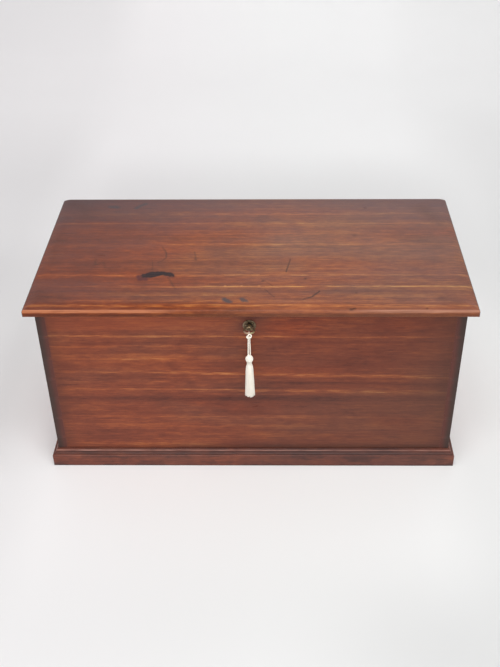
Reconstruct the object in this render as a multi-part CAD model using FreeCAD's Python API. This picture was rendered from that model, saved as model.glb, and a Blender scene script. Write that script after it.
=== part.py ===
import FreeCAD, Part
import math
import os
from FreeCAD import Vector as V

# A mahogany blanket chest: a dovetailed box on a moulded plinth, with a hinged lid, a box lock
# and its key, and a tassel on the key. Millimetres, +X right, +Y back, +Z up. The origin is on
# the floor under the middle of the case, and the front faces -Y.

# Case
case_width = 900.0
case_depth = 438.0
case_height = 425.0
board_thickness = 20.0
bottom_thickness = 12.0
bottom_board_gap = 1.0

# Dovetails: thin pins on the front and back boards, wide tails on the ends
pin_count = 6
pin_width = 7.0
edge_pin_width = 12.0
pin_slope = 1.0 / 8.0

# Lid: a thumb moulding on the front and both ends, square at the back
lid_thickness = 20.0
lid_overhang = 20.0
lid_back_overhang = 20.0
thumb_width = 26.0
thumb_fall = 3.4
nose_width = 4.0
nose_lower_radius = 3.0
lid_corner_radius = 3.0
lid_back_arris = 1.5

# Plinth moulding, from the case face outwards and from the top down
plinth_face_height = 30.0
plinth_fillet_width = 2.5
plinth_fillet_drop = 2.4
plinth_bead_width = 3.5
plinth_bead_drop = 3.5
plinth_cove_radius = 5.0
plinth_quirk_drop = 1.4
plinth_ledge_width = 1.3
plinth_arris_radius = 1.2

# Nails through the bottom boards
nail_length = 35.0
nail_head_radius = 2.6
nail_head_height = 1.2
nail_shank_radius = 1.3
nails_per_long_edge = 6
nail_row_inset = 60.0

# Butt hinges
hinge_length = 76.0
hinge_from_end = 150.0
hinge_leaf_inset = 4.0
hinge_leaf_thickness = 2.0
hinge_barrel_radius = 3.5
hinge_barrel_gap = 0.5
hinge_pin_radius = 1.6
knuckle_count = 5
hinge_running_gap = 0.05
hinge_knuckle_gap = 0.3
hinge_pocket_gap = 0.5
hinge_screw_count = 3
hinge_screw_margin = 12.0

# Screws
screw_head_radius = 3.2
screw_head_height = 1.8
screw_shank_radius = 1.6
screw_tip_radius = 0.5
screw_slot_width = 0.8
screw_slot_depth = 0.8
screw_point_length = 4.0
hinge_screw_length = 14.0
lock_screw_length = 12.0

# Lock
lock_x = -2.8
lock_plate_thickness = 2.0
lock_plate_side = 9.0
lock_plate_foot = 10.0
lock_screw_margin = 12.0
selvedge_thickness = 2.5
selvedge_lip = 2.0
cap_wall = 1.2
cap_side_room = 1.5
cap_lug_room = 0.6
cap_bit_room = 3.8
cap_tab_length = 4.0
cap_tab_margin = 8.0
drill_pin_radius = 1.4
drill_pin_length = 9.0

# Bolt
bolt_thickness = 3.0
bolt_height = 10.5
bolt_from_key = 7.5
bolt_end_wall = 3.0
bolt_travel_per_turn = 10.0
bolt_notch_gap = 0.7
bolt_slot_height = 3.0
bolt_slot_wall = 2.1
bolt_stud_radius = 1.3
bolt_stud_x = 5.0
bolt_stud_end = 1.0
prong_height = 5.0
prong_post_width = 4.0
prong_rest_gap = 1.5

# Link plate under the lid, with the lugs that the bolt holds
lug_spacing = 24.0
lug_thickness = 4.0
lug_length = 13.0
lug_wall = 2.2
lug_bolt_gap = 1.0
lug_plate_gap = 0.8
link_plate_depth = 14.0
link_plate_thickness = 2.0
link_plate_margin = 6.0
link_screw_from_lug = 12.0

# Ward inside the lock
ward_radius = 5.0
ward_wall = 0.8
ward_height = 3.0

# Key
key_rest_turn = 90.0
key_shank_radius = 3.0
key_bore_room = 5.0
key_bit_radius = 10.0
key_bit_thickness = 2.4
key_bit_end_gap = 0.5
key_collar_radius = 4.3
key_collar_length = 2.0
key_collar_standoff = 4.5
bow_standoff = 10.0
bow_radius = 11.0
bow_wire_radius = 2.0

# Escutcheon
escutcheon_radius = 14.0
escutcheon_below_key = 2.0
escutcheon_thickness = 1.0
escutcheon_rim_width = 3.0
escutcheon_rim_height = 2.2
escutcheon_pin_room = 1.1
escutcheon_pin_head = 1.1
escutcheon_pin_shank = 0.6
escutcheon_pin_length = 6.5
escutcheon_pin_angle = 45.0

# Tassel: it hangs from a knot in front of the bow
cord_radius = 1.3
hitch_half_angle = 26.0
knot_radius = 5.5
cord_spread_top = 1.5
cord_spread_middle = 1.85
cord_spread_bottom = 2.1
cord_length = 42.0
tassel_head_radius = 8.2
tassel_head_height = 17.0
tassel_neck_radius = 5.4
tassel_neck_height = 5.0
tassel_neck_step = 0.9
tassel_shoulder_radius = 8.0
tassel_shoulder_drop = 16.0
tassel_shoulder_bulge = 0.7
tassel_skirt_length = 85.0
tassel_skirt_radius = 10.8

# Clearances
mortise_gap = 0.3
hole_gap = 0.1
keyhole_gap = 0.4
lock_working_gap = 0.3
lug_slot_gap = 1.2
key_bore_gap = 0.1
cord_gap = 0.3

# How far every cutter runs past the face that it cuts
overcut = 1.0
# Part of the shorter run that an arc of the cord takes up, and a quarter round's middle
cord_bend_share = 0.45
quarter_middle = 1 - math.sqrt(0.5)

# Places that several pieces share
front_face = -case_depth / 2
back_face = case_depth / 2
right_face = case_width / 2
inner_front = front_face + board_thickness
inner_right = right_face - board_thickness
lid_front = front_face - lid_overhang
lid_back = back_face + lid_back_overhang
lid_right = right_face + lid_overhang
plinth_projection = (plinth_fillet_width + plinth_bead_width + plinth_cove_radius
                     + plinth_ledge_width + plinth_arris_radius)
pin_reach = board_thickness * pin_slope

# Hinges
hinge_pin_standoff = hinge_barrel_radius + hinge_barrel_gap
hinge_axis_y = back_face + hinge_pin_standoff
hinge_leaf_width = board_thickness + hinge_pin_standoff - hinge_leaf_inset
hinge_screw_from_pin = (hinge_leaf_width + hinge_barrel_radius) / 2

# Lock, from the top of the case down to the key
key_below_top = lug_length + lug_bolt_gap + bolt_height + bolt_from_key
key_height = case_height - key_below_top
bolt_bottom = key_height + bolt_from_key
eye_height = prong_height + 2 * lock_working_gap
prong_middle = case_height - lug_length + lug_wall + eye_height / 2
cap_below_key = key_bit_radius + cap_bit_room + cap_wall
lock_plate_height = key_below_top + cap_below_key + lock_plate_foot

# Lock, from the inside of the front board forwards
eye_depth = bolt_thickness + 2 * lock_working_gap
lug_depth = bolt_thickness + 2 * lug_wall
bolt_from_plate = lug_wall + lug_plate_gap
cap_depth = bolt_from_plate + bolt_thickness + lug_wall + cap_lug_room + cap_wall
selvedge_width = lock_plate_thickness + cap_depth + selvedge_lip
plate_front = inner_front - lock_plate_thickness
cap_front = plate_front - cap_depth
bolt_back = plate_front - bolt_from_plate
bolt_middle = bolt_back - bolt_thickness / 2

# Lock, from side to side
bolt_travel_back = bolt_travel_per_turn * key_rest_turn / 360
bolt_travel_on = bolt_travel_per_turn - bolt_travel_back
prong_length = bolt_travel_on - prong_rest_gap + prong_post_width + lock_working_gap
prong_tip_from_lug = lug_thickness / 2 + prong_rest_gap
bolt_left_end = lug_spacing / 2 + prong_tip_from_lug + prong_length
bolt_right_end = bolt_stud_x + bolt_travel_back + bolt_slot_height / 2 + bolt_end_wall
bolt_slot_middle = bolt_bottom + bolt_height - bolt_slot_wall - bolt_slot_height / 2
bolt_notch_depth = key_bit_radius - bolt_from_key + bolt_notch_gap
bolt_notch_width = key_bit_thickness + 2 * math.sqrt(key_bit_radius ** 2 - bolt_from_key ** 2)
cap_width = 2 * (bolt_left_end + bolt_travel_back + cap_side_room + cap_wall)
lock_plate_width = cap_width + 2 * lock_plate_side
link_screw_spacing = lug_spacing + 2 * link_screw_from_lug
link_plate_width = link_screw_spacing + 2 * link_plate_margin

# Key, escutcheon and tassel
key_back = plate_front - lock_working_gap
key_bore_depth = drill_pin_length + key_bore_room
key_bit_length = cap_depth - cap_wall - lock_working_gap - key_bit_end_gap
bow_centre_y = front_face - bow_standoff - bow_radius
escutcheon_pin_radius = (escutcheon_radius - escutcheon_rim_width - escutcheon_pin_room
                         - escutcheon_pin_head)
hitch_bore = bow_wire_radius + hole_gap
hitch_radius = hitch_bore + 2 * cord_radius
knot_y = bow_centre_y - bow_radius - hitch_radius - cord_gap - knot_radius
cord_top = key_height - knot_radius - cord_gap
tassel_top = cord_top - cord_length
neck_top = tassel_top - tassel_head_height
skirt_top = neck_top - tassel_neck_height


def export(name, shape):
    """Write one piece, or one group of like pieces, as a STEP file."""
    shape.exportStep(os.path.join("parts", name + ".step"))


def block(x0, x1, y0, y1, z0, z1):
    """A box between two corners."""
    return Part.makeBox(x1 - x0, y1 - y0, z1 - z0, V(x0, y0, z0))


def prism(points, direction):
    """A flat outline pushed along a direction."""
    return Part.Face(Part.makePolygon(points + points[:1])).extrude(direction)


def rod(radius, start, direction, length):
    """A round bar."""
    return Part.makeCylinder(radius, length, start, direction)


def united(shapes):
    """Several overlapping shapes as one clean solid."""
    whole = shapes[0].multiFuse(shapes[1:]) if len(shapes) > 1 else shapes[0]
    return whole.removeSplitter()


def carved(shape, cutters):
    """A shape with the cutters taken out of it."""
    return shape.cut(Part.makeCompound(cutters)).removeSplitter() if cutters else shape


def mirrored(shape):
    """The same shape on the other side of the middle of the chest."""
    return shape.mirror(V(0, 0, 0), V(1, 0, 0))


def turned(edges, centre):
    """A profile in the XZ plane turned about the upright line through a point."""
    wire = Part.Wire(edges)
    solid = Part.Face(wire).revolve(V(0, 0, 0), V(0, 0, 1), 360)
    return solid.translated(centre)


def line(a, b):
    """A straight edge."""
    return Part.makeLine(a, b)


def arc(a, middle, b):
    """A round edge through three points."""
    return Part.Arc(a, middle, b).toShape()


# ---------------------------------------------------------------- fasteners

def screw(head, direction, length, gap=0.0):
    """A countersunk screw, or the hole for one when a gap is given."""
    body = length - screw_head_height - screw_point_length + gap
    neck = head + direction * screw_head_height
    tip = neck + direction * body
    cone = Part.makeCone(screw_head_radius + gap, screw_shank_radius + gap, screw_head_height,
                         head, direction)
    shank = rod(screw_shank_radius + gap, neck, direction, body)
    point = Part.makeCone(screw_shank_radius + gap, screw_tip_radius, screw_point_length,
                          tip, direction)
    solid = united([cone, shank, point])
    if gap:
        return solid
    reach = screw_head_radius + overcut
    half_slot = screw_slot_width / 2
    slot = block(-reach, reach, -half_slot, half_slot, 0, screw_slot_depth)
    slot.Placement = FreeCAD.Placement(head, FreeCAD.Rotation(V(0, 0, 1), direction)).multiply(
        slot.Placement)
    return solid.cut(slot)


def nail(x, y, gap=0.0):
    """A nail driven up from the floor side, or its hole when a gap is given."""
    head = rod(nail_head_radius + gap, V(x, y, 0), V(0, 0, 1), nail_head_height)
    shank = rod(nail_shank_radius + gap, V(x, y, 0), V(0, 0, 1), nail_length + gap)
    return united([head, shank])


def bottom_board_edges():
    """Front and back edge of each bottom board, front board first."""
    width = (case_depth - 2 * bottom_board_gap) / 3
    starts = [front_face + i * (width + bottom_board_gap) for i in range(3)]
    return [(start, start + width) for start in starts]


def nail_places():
    """Nails along the long edges, and two at each end of each bottom board."""
    reach = right_face - nail_row_inset
    step = 2 * reach / (nails_per_long_edge - 1)
    rows = (front_face + board_thickness / 2, back_face - board_thickness / 2)
    places = [(-reach + i * step, y) for y in rows for i in range(nails_per_long_edge)]
    end_line = right_face - board_thickness / 2
    for y0, y1 in bottom_board_edges():
        middle = (y0 + y1) / 2
        quarter = (y1 - y0) / 4
        for x in (-end_line, end_line):
            places += [(x, middle - quarter), (x, middle + quarter)]
    return places


# ---------------------------------------------------------------- case

def pin_outlines():
    """Lower and upper height of each pin at the outside face, with the slope of its two sides."""
    low = bottom_thickness
    run = case_height - low - 2 * edge_pin_width - pin_count * pin_width
    tail = run / (pin_count + 1)
    pins = [(low, low + edge_pin_width, 0, 1)]
    for i in range(pin_count):
        start = low + edge_pin_width + tail + i * (tail + pin_width)
        pins.append((start, start + pin_width, 1, 1))
    pins.append((case_height - edge_pin_width, case_height, 1, 0))
    return pins


def dovetail_pins(outer_y, inner_y):
    """The pins at the right-hand end of a front or back board."""
    pins = []
    for low, high, flare_low, flare_high in pin_outlines():
        points = [V(inner_right, outer_y, low), V(inner_right, outer_y, high),
                  V(inner_right, inner_y, high + flare_high * pin_reach),
                  V(inner_right, inner_y, low - flare_low * pin_reach)]
        pins.append(prism(points, V(board_thickness, 0, 0)))
    return pins


def long_board(outer_y, inner_y):
    """A front or back board with its pins at both ends."""
    y0, y1 = min(outer_y, inner_y), max(outer_y, inner_y)
    plank = block(-inner_right, inner_right, y0, y1, bottom_thickness, case_height)
    pins = dovetail_pins(outer_y, inner_y)
    return united([plank] + pins + [mirrored(pin) for pin in pins])


def end_board():
    """The right-hand end, with tails cut between the pins of the front and back boards."""
    plank = block(inner_right, right_face, front_face, back_face, bottom_thickness, case_height)
    sockets = dovetail_pins(front_face, inner_front)
    sockets += dovetail_pins(back_face, back_face - board_thickness)
    return carved(plank, sockets)


def plinth_profile(x):
    """Outline of the plinth in the YZ plane, standing against the front of the case."""
    def at(out, z):
        return V(x, front_face - out, z)

    top = (plinth_face_height + plinth_arris_radius + plinth_quirk_drop + plinth_cove_radius
           + plinth_bead_drop + plinth_fillet_drop)
    fillet = plinth_fillet_width
    bead_top = top - plinth_fillet_drop
    bead_out = fillet + plinth_bead_width
    cove_top = bead_top - plinth_bead_drop
    cove_out = bead_out + plinth_cove_radius
    cove_foot = cove_top - plinth_cove_radius
    ledge = cove_foot - plinth_quirk_drop
    ledge_out = cove_out + plinth_ledge_width
    near, far = quarter_middle, 1 - quarter_middle
    bead = arc(at(fillet, bead_top),
               at(fillet + far * plinth_bead_width, bead_top - near * plinth_bead_drop),
               at(bead_out, cove_top))
    cove = arc(at(bead_out, cove_top),
               at(bead_out + near * plinth_cove_radius, cove_top - far * plinth_cove_radius),
               at(cove_out, cove_foot))
    arris = arc(at(ledge_out, ledge),
                at(ledge_out + far * plinth_arris_radius, ledge - near * plinth_arris_radius),
                at(plinth_projection, plinth_face_height))
    edges = [line(at(0, 0), at(0, top)), line(at(0, top), at(fillet, top)),
             line(at(fillet, top), at(fillet, bead_top)), bead, cove,
             line(at(cove_out, cove_foot), at(cove_out, ledge)),
             line(at(cove_out, ledge), at(ledge_out, ledge)), arris,
             line(at(plinth_projection, plinth_face_height), at(plinth_projection, 0)),
             line(at(plinth_projection, 0), at(0, 0))]
    return Part.Face(Part.Wire(edges)), top


def plinth_front():
    """The front run, mitred at both corners."""
    reach = right_face + plinth_projection
    face, top = plinth_profile(-reach)
    run = face.extrude(V(2 * reach, 0, 0))
    outline = [V(-reach, front_face - plinth_projection, 0), V(reach, front_face - plinth_projection, 0),
               V(right_face, front_face, 0), V(-right_face, front_face, 0)]
    return run.common(prism(outline, V(0, 0, top)))


def plinth_right():
    """The right-hand run, mitred at the front and square at the back of the case."""
    face, top = plinth_profile(0)
    length = case_depth + plinth_projection
    run = face.extrude(V(length, 0, 0))
    corner = V(0, front_face, 0)
    run.rotate(corner, V(0, 0, 1), 90)
    run.translate(V(right_face, -plinth_projection, 0))
    outer = right_face + plinth_projection
    outline = [V(outer, front_face - plinth_projection, 0), V(outer, back_face, 0),
               V(right_face, back_face, 0), V(right_face, front_face, 0)]
    return run.common(prism(outline, V(0, 0, top)))


# ---------------------------------------------------------------- lid

def nose_edges(place, width):
    """Edges of a moulded board section, from the back of its top to the back of its underside.

    place(u, z) puts a point that is u inboard of the nose and z above the underside."""
    run = thumb_width - nose_width
    thumb_radius = (run ** 2 + thumb_fall ** 2) / (2 * thumb_fall)
    slope = math.asin(run / thumb_radius)
    nose_radius = nose_width / (1 - math.sin(slope))
    nose_top = lid_thickness - thumb_fall
    nose_end = nose_top - nose_radius * math.cos(slope)
    half = slope / 2
    thumb_middle = place(thumb_width - thumb_radius * math.sin(half),
                         lid_thickness - thumb_radius * (1 - math.cos(half)))
    angle = (math.pi / 2 + slope) / 2
    nose_middle = place(nose_radius * (1 - math.sin(angle)),
                        nose_end + nose_radius * math.cos(angle))
    low = nose_lower_radius
    middle = quarter_middle * low
    return [line(place(width, lid_thickness), place(thumb_width, lid_thickness)),
            arc(place(thumb_width, lid_thickness), thumb_middle, place(nose_width, nose_top)),
            arc(place(nose_width, nose_top), nose_middle, place(0, nose_end)),
            line(place(0, nose_end), place(0, low)),
            arc(place(0, low), place(middle, middle), place(low, 0)),
            line(place(low, 0), place(width, 0))]


def lid_blank():
    """The moulded board before anything is let into it."""
    def from_front(u, z):
        return V(-lid_right, lid_front + u, case_height + z)

    def from_left(u, z):
        return V(-lid_right + u, lid_front, case_height + z)

    depth = lid_back - lid_front
    square = depth - lid_back_arris
    inset = lid_back_arris * quarter_middle
    high = lid_thickness - lid_back_arris
    back = [arc(from_front(square, 0), from_front(depth - inset, inset),
                from_front(depth, lid_back_arris)),
            line(from_front(depth, lid_back_arris), from_front(depth, high)),
            arc(from_front(depth, high), from_front(depth - inset, lid_thickness - inset),
                from_front(square, lid_thickness))]
    front_section = Part.Face(Part.Wire(nose_edges(from_front, square) + back))
    along = front_section.extrude(V(2 * lid_right, 0, 0))
    half = nose_edges(from_left, lid_right)
    half.append(line(from_left(lid_right, 0), from_left(lid_right, lid_thickness)))
    left = Part.Face(Part.Wire(half)).extrude(V(0, depth, 0))
    across = united([left, mirrored(left)])
    plan = block(-lid_right, lid_right, lid_front, lid_back, case_height, case_height + lid_thickness)
    corners = [edge for edge in plan.Edges
               if edge.BoundBox.ZLength > lid_thickness / 2 and edge.BoundBox.YMax < 0]
    return along.common(across).common(plan.makeFillet(lid_corner_radius, corners))


# ---------------------------------------------------------------- hinges

def knuckles():
    """Start of each knuckle along the hinge, with True for the ones on the case leaf."""
    pitch = hinge_length / knuckle_count
    return [(i * pitch, i % 2 == 0) for i in range(knuckle_count)], pitch


def hinge_leaf(x, on_case):
    """One leaf with its knuckles, closed, starting at x."""
    axis = V(x, hinge_axis_y, case_height)
    low = -hinge_leaf_thickness if on_case else 0
    leaf = block(x, x + hinge_length, hinge_axis_y - hinge_leaf_width, hinge_axis_y,
                 case_height + low, case_height + low + hinge_leaf_thickness)
    spans, pitch = knuckles()
    own, other = [], []
    for start, case_side in spans:
        if case_side == on_case:
            place = axis + V(start + hinge_knuckle_gap / 2, 0, 0)
            own.append(rod(hinge_barrel_radius, place, V(1, 0, 0), pitch - hinge_knuckle_gap))
        else:
            place = axis + V(start - hinge_knuckle_gap / 2, 0, 0)
            other.append(rod(hinge_barrel_radius + hinge_knuckle_gap, place, V(1, 0, 0),
                             pitch + hinge_knuckle_gap))
    bore = rod(hinge_pin_radius + hinge_running_gap, axis - V(overcut, 0, 0), V(1, 0, 0),
               hinge_length + 2 * overcut)
    solid = carved(united([carved(leaf, other)] + own), [bore])
    holes = [screw(head, direction, hinge_screw_length, hole_gap)
             for head, direction in hinge_screws(x, on_case)]
    return carved(solid, holes)


def hinge_screws(x, on_case):
    """Head and direction of each screw in a leaf."""
    run = hinge_length - 2 * hinge_screw_margin
    step = run / (hinge_screw_count - 1)
    y = hinge_axis_y - hinge_screw_from_pin
    direction = V(0, 0, -1) if on_case else V(0, 0, 1)
    return [(V(x + hinge_screw_margin + i * step, y, case_height), direction)
            for i in range(hinge_screw_count)]


def hinge_starts():
    """Left-hand end of each hinge."""
    middle = right_face - hinge_from_end
    half = hinge_length / 2
    return {"left": -middle - half, "right": middle - half}


def case_leaf_recess(x):
    """The mortise for a leaf in the top edge of the back board."""
    return block(x - mortise_gap, x + hinge_length + mortise_gap,
                 hinge_axis_y - hinge_leaf_width - mortise_gap, hinge_axis_y,
                 case_height - hinge_leaf_thickness, case_height + overcut)


def lid_leaf_recess(x):
    """The mortise for a leaf under the lid, with a deeper pocket over the barrel."""
    room = hinge_barrel_radius + hinge_pocket_gap
    x0, x1 = x - mortise_gap, x + hinge_length + mortise_gap
    leaf = block(x0, x1, hinge_axis_y - hinge_leaf_width - mortise_gap, hinge_axis_y,
                 case_height - overcut, case_height + hinge_leaf_thickness)
    barrel = block(x0, x1, hinge_axis_y - room, hinge_axis_y + room,
                   case_height - overcut, case_height + room)
    return united([leaf, barrel])


# ---------------------------------------------------------------- lock

def keyhole(y0, y1, gap):
    """The round hole and the slot below it that let the key through."""
    start = V(lock_x, y0, key_height)
    hole = rod(key_shank_radius + gap, start, V(0, 1, 0), y1 - y0)
    half = key_bit_thickness / 2 + gap
    slot = block(lock_x - half, lock_x + half, y0, y1,
                 key_height - key_bit_radius - gap, key_height)
    return united([hole, slot])


def lug_places():
    """Middle of each lug along the chest."""
    return [lock_x - lug_spacing / 2, lock_x + lug_spacing / 2]


def lock_screws():
    """Head and direction of the four screws that hold the lock plate from inside the chest."""
    side = (lock_plate_width + cap_width) / 4
    heights = (case_height - lock_screw_margin,
               case_height - lock_plate_height + lock_screw_margin)
    return [(V(lock_x + sign * side, inner_front, z), V(0, -1, 0)) for sign in (-1, 1) for z in heights]


def cap_box(grow):
    """Outer block of the cap, made larger by a gap for its recess."""
    half = cap_width / 2 + grow
    return block(lock_x - half, lock_x + half, cap_front - grow, plate_front,
                 key_height - cap_below_key - grow, case_height - selvedge_thickness)


def cap_tabs():
    """Four tabs that pass through the lock plate."""
    half = cap_width / 2
    low = key_height - cap_below_key
    tabs = []
    for z in (low + cap_tab_margin, case_height - cap_tab_margin - cap_tab_length):
        for x in (lock_x - half, lock_x + half - cap_wall):
            tabs.append(block(x, x + cap_wall, plate_front, inner_front, z, z + cap_tab_length))
    return tabs


def lock_cap():
    """The pressed box in front of the works."""
    inner_half = cap_width / 2 - cap_wall
    hollow = block(lock_x - inner_half, lock_x + inner_half, cap_front + cap_wall, plate_front,
                   key_height - cap_below_key + cap_wall, case_height)
    hole = keyhole(cap_front - overcut, cap_front + cap_wall + overcut, keyhole_gap)
    return carved(united([carved(cap_box(0), [hollow])] + cap_tabs()), [hole])


def lock_plate():
    """The back plate and the selvedge on top of it, with the drill pin and the bolt's stud."""
    half = lock_plate_width / 2
    plate = block(lock_x - half, lock_x + half, plate_front, inner_front,
                  case_height - lock_plate_height, case_height)
    selvedge = block(lock_x - half, lock_x + half, inner_front - selvedge_width, inner_front,
                     case_height - selvedge_thickness, case_height)
    pin = rod(drill_pin_radius, V(lock_x, inner_front, key_height), V(0, -1, 0),
              lock_plate_thickness + drill_pin_length)
    stud = rod(bolt_stud_radius, V(lock_x + bolt_stud_x, inner_front, bolt_slot_middle), V(0, -1, 0),
               lock_plate_thickness + bolt_from_plate + bolt_thickness + bolt_stud_end)
    slots = []
    for x in lug_places():
        wide = lug_thickness / 2 + lug_slot_gap
        deep = lug_depth / 2 + lug_slot_gap
        slots.append(block(x - wide, x + wide, bolt_middle - deep,
                           min(bolt_middle + deep, plate_front),
                           case_height - selvedge_thickness - overcut, case_height + overcut))
    holes = [screw(head, direction, lock_screw_length, hole_gap) for head, direction in lock_screws()]
    return united([carved(united([plate, selvedge]), slots + holes + cap_tabs()), pin, stud])


def lock_ward():
    """A ring round the drill pin that the slot in the key's bit passes over."""
    base = V(lock_x, plate_front, key_height)
    outer = rod(ward_radius + ward_wall, base, V(0, -1, 0), ward_height)
    return outer.cut(rod(ward_radius, base, V(0, -1, 0), ward_height))


def lock_bolt():
    """The sliding bolt: a talon notch for the key below, and two prongs for the lugs above."""
    y0, y1 = bolt_back - bolt_thickness, bolt_back
    top = bolt_bottom + bolt_height
    bar = block(lock_x - bolt_left_end, lock_x + bolt_right_end, y0, y1, bolt_bottom, top)
    low = prong_middle - prong_height / 2
    prongs = []
    for tip in (x - prong_tip_from_lug for x in lug_places()):
        root = tip - prong_length
        prongs.append(block(root, tip, y0, y1, low, low + prong_height))
        prongs.append(block(root, root + prong_post_width, y0, y1, bolt_bottom, low + prong_height))
    notch_middle = lock_x - bolt_travel_per_turn * (180 - key_rest_turn) / 360
    notch = block(notch_middle - bolt_notch_width / 2, notch_middle + bolt_notch_width / 2, y0, y1,
                  bolt_bottom - overcut, bolt_bottom + bolt_notch_depth)
    stud_x = lock_x + bolt_stud_x
    z = bolt_slot_middle
    room = bolt_slot_height / 2
    slot_left = stud_x - bolt_travel_on
    slot_right = stud_x + bolt_travel_back
    slot = united([block(slot_left, slot_right, y0, y1, z - room, z + room),
                   rod(room, V(slot_left, y0, z), V(0, 1, 0), bolt_thickness),
                   rod(room, V(slot_right, y0, z), V(0, 1, 0), bolt_thickness)])
    return carved(united([bar] + prongs), [notch, slot])


def lock_mortise():
    """What is chopped out of the front board for the lock."""
    half = lock_plate_width / 2 + mortise_gap
    plate = block(lock_x - half, lock_x + half, plate_front, inner_front + overcut,
                  case_height - lock_plate_height - mortise_gap, case_height + overcut)
    selvedge = block(lock_x - half, lock_x + half, inner_front - selvedge_width - mortise_gap,
                     inner_front, case_height - selvedge_thickness, case_height + overcut)
    hole = keyhole(front_face - overcut, cap_front, 2 * keyhole_gap)
    return [plate, selvedge, cap_box(mortise_gap), hole]


def link_screws():
    """Head and direction of the two screws that hold the link plate under the lid."""
    half = link_screw_spacing / 2
    return [(V(lock_x + sign * half, bolt_middle, case_height), V(0, 0, 1)) for sign in (-1, 1)]


def link_plate_block(gap):
    """The flat plate, or its recess in the lid when a gap is given."""
    half = link_plate_width / 2 + gap
    deep = link_plate_depth / 2 + gap
    return block(lock_x - half, lock_x + half, bolt_middle - deep, bolt_middle + deep,
                 case_height - (overcut if gap else 0), case_height + link_plate_thickness)


def link_plate():
    """The plate let into the lid, with two lugs whose eyes the bolt's prongs enter."""
    lugs = []
    for x in lug_places():
        lug = block(x - lug_thickness / 2, x + lug_thickness / 2, bolt_middle - lug_depth / 2,
                    bolt_middle + lug_depth / 2, case_height - lug_length, case_height)
        eye = block(x - lug_thickness, x + lug_thickness, bolt_middle - eye_depth / 2,
                    bolt_middle + eye_depth / 2, prong_middle - eye_height / 2,
                    prong_middle + eye_height / 2)
        lugs.append(lug.cut(eye))
    holes = [screw(head, direction, lock_screw_length, hole_gap) for head, direction in link_screws()]
    return carved(united([link_plate_block(0)] + lugs), holes)


# ---------------------------------------------------------------- escutcheon

def escutcheon_centre():
    """Middle of the escutcheon on the front of the case."""
    return V(lock_x, front_face, key_height - escutcheon_below_key)


def escutcheon():
    """A round plate with a raised rim and a keyhole."""
    centre = escutcheon_centre()
    plate = rod(escutcheon_radius, centre, V(0, -1, 0), escutcheon_thickness)
    bead_radius = escutcheon_rim_width / 2
    middle = V(escutcheon_radius - bead_radius, 0, escutcheon_rim_height - bead_radius)
    inner, outer = middle - V(bead_radius, 0, 0), middle + V(bead_radius, 0, 0)
    rim = turned([arc(inner, middle + V(0, 0, bead_radius), outer),
                  line(outer, V(outer.x, 0, 0)), line(V(outer.x, 0, 0), V(inner.x, 0, 0)),
                  line(V(inner.x, 0, 0), inner)], V(0, 0, 0))
    rim.rotate(V(0, 0, 0), V(1, 0, 0), 90)
    rim.translate(centre)
    cutters = [keyhole(front_face - escutcheon_rim_height, front_face + overcut, keyhole_gap)]
    cutters += [escutcheon_pin(sign, hole_gap) for sign in (-1, 1)]
    return carved(united([plate, rim]), cutters)


def escutcheon_pin(sign, gap=0.0):
    """A domed brass pin through the plate, or its hole when a gap is given."""
    angle = math.radians(escutcheon_pin_angle)
    reach = sign * escutcheon_pin_radius
    place = escutcheon_centre() + V(reach * math.cos(angle), -escutcheon_thickness,
                                    reach * math.sin(angle))
    shank = rod(escutcheon_pin_shank + gap, place, V(0, 1, 0), escutcheon_pin_length + gap)
    if gap:
        return shank
    dome = Part.makeSphere(escutcheon_pin_head, place, V(0, -1, 0), 0, 90, 360)
    return united([shank, dome])


# ---------------------------------------------------------------- key and tassel

def rest_turn(shape):
    """Turn something about the key's axis from upright to where the key rests."""
    return shape.rotated(V(lock_x, 0, key_height), V(0, 1, 0), key_rest_turn)


def bow_section(radius):
    """A round face across the wire at the front of the upright bow."""
    circle = Part.makeCircle(radius, V(lock_x, bow_centre_y - bow_radius, key_height), V(0, 0, 1))
    return Part.Face(Part.Wire(circle))


def key():
    """A pipe key: bit, bored shank, collar and round bow."""
    bow_near = bow_centre_y + bow_radius
    start = V(lock_x, key_back, key_height)
    beyond = start + V(0, overcut, 0)
    shank = rod(key_shank_radius, start, V(0, -1, 0), key_back - bow_near)
    collar = rod(key_collar_radius, V(lock_x, front_face - key_collar_standoff, key_height),
                 V(0, -1, 0), key_collar_length)
    half = key_bit_thickness / 2
    bit = block(lock_x - half, lock_x + half, key_back - key_bit_length, key_back,
                key_height - key_bit_radius, key_height)
    ring = Part.makeTorus(bow_radius, bow_wire_radius, V(lock_x, bow_centre_y, key_height), V(1, 0, 0))
    bore = rod(drill_pin_radius + key_bore_gap, beyond, V(0, -1, 0), key_bore_depth + overcut)
    ward_room = rod(ward_radius + ward_wall + lock_working_gap, beyond, V(0, -1, 0),
                    ward_height + overcut)
    ward_core = rod(ward_radius - lock_working_gap, beyond, V(0, -1, 0), ward_height + overcut)
    slot = ward_room.cut(ward_core)
    return rest_turn(carved(united([shank, collar, bit, ring]), [bore, slot]))


def tassel_hitch():
    """The turns of cord round the front of the bow, as one sleeve."""
    centre = V(lock_x, bow_centre_y, key_height)
    sleeve = bow_section(hitch_radius).cut(bow_section(hitch_bore)).Faces[0]
    sleeve.rotate(centre, V(1, 0, 0), -hitch_half_angle)
    return rest_turn(sleeve.revolve(centre, V(1, 0, 0), 2 * hitch_half_angle))


def tassel_knot():
    """The knot in front of the bow, on the key's own axis."""
    return Part.makeSphere(knot_radius, V(lock_x, knot_y, key_height))


def cord_route(side):
    """Points of one strand, from the knot down to the tassel's head."""
    spreads = (cord_spread_top, cord_spread_middle, cord_spread_bottom)
    step = cord_length / (len(spreads) - 1)
    return [V(lock_x + side * spread, knot_y, cord_top - i * step) for i, spread in enumerate(spreads)]


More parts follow.
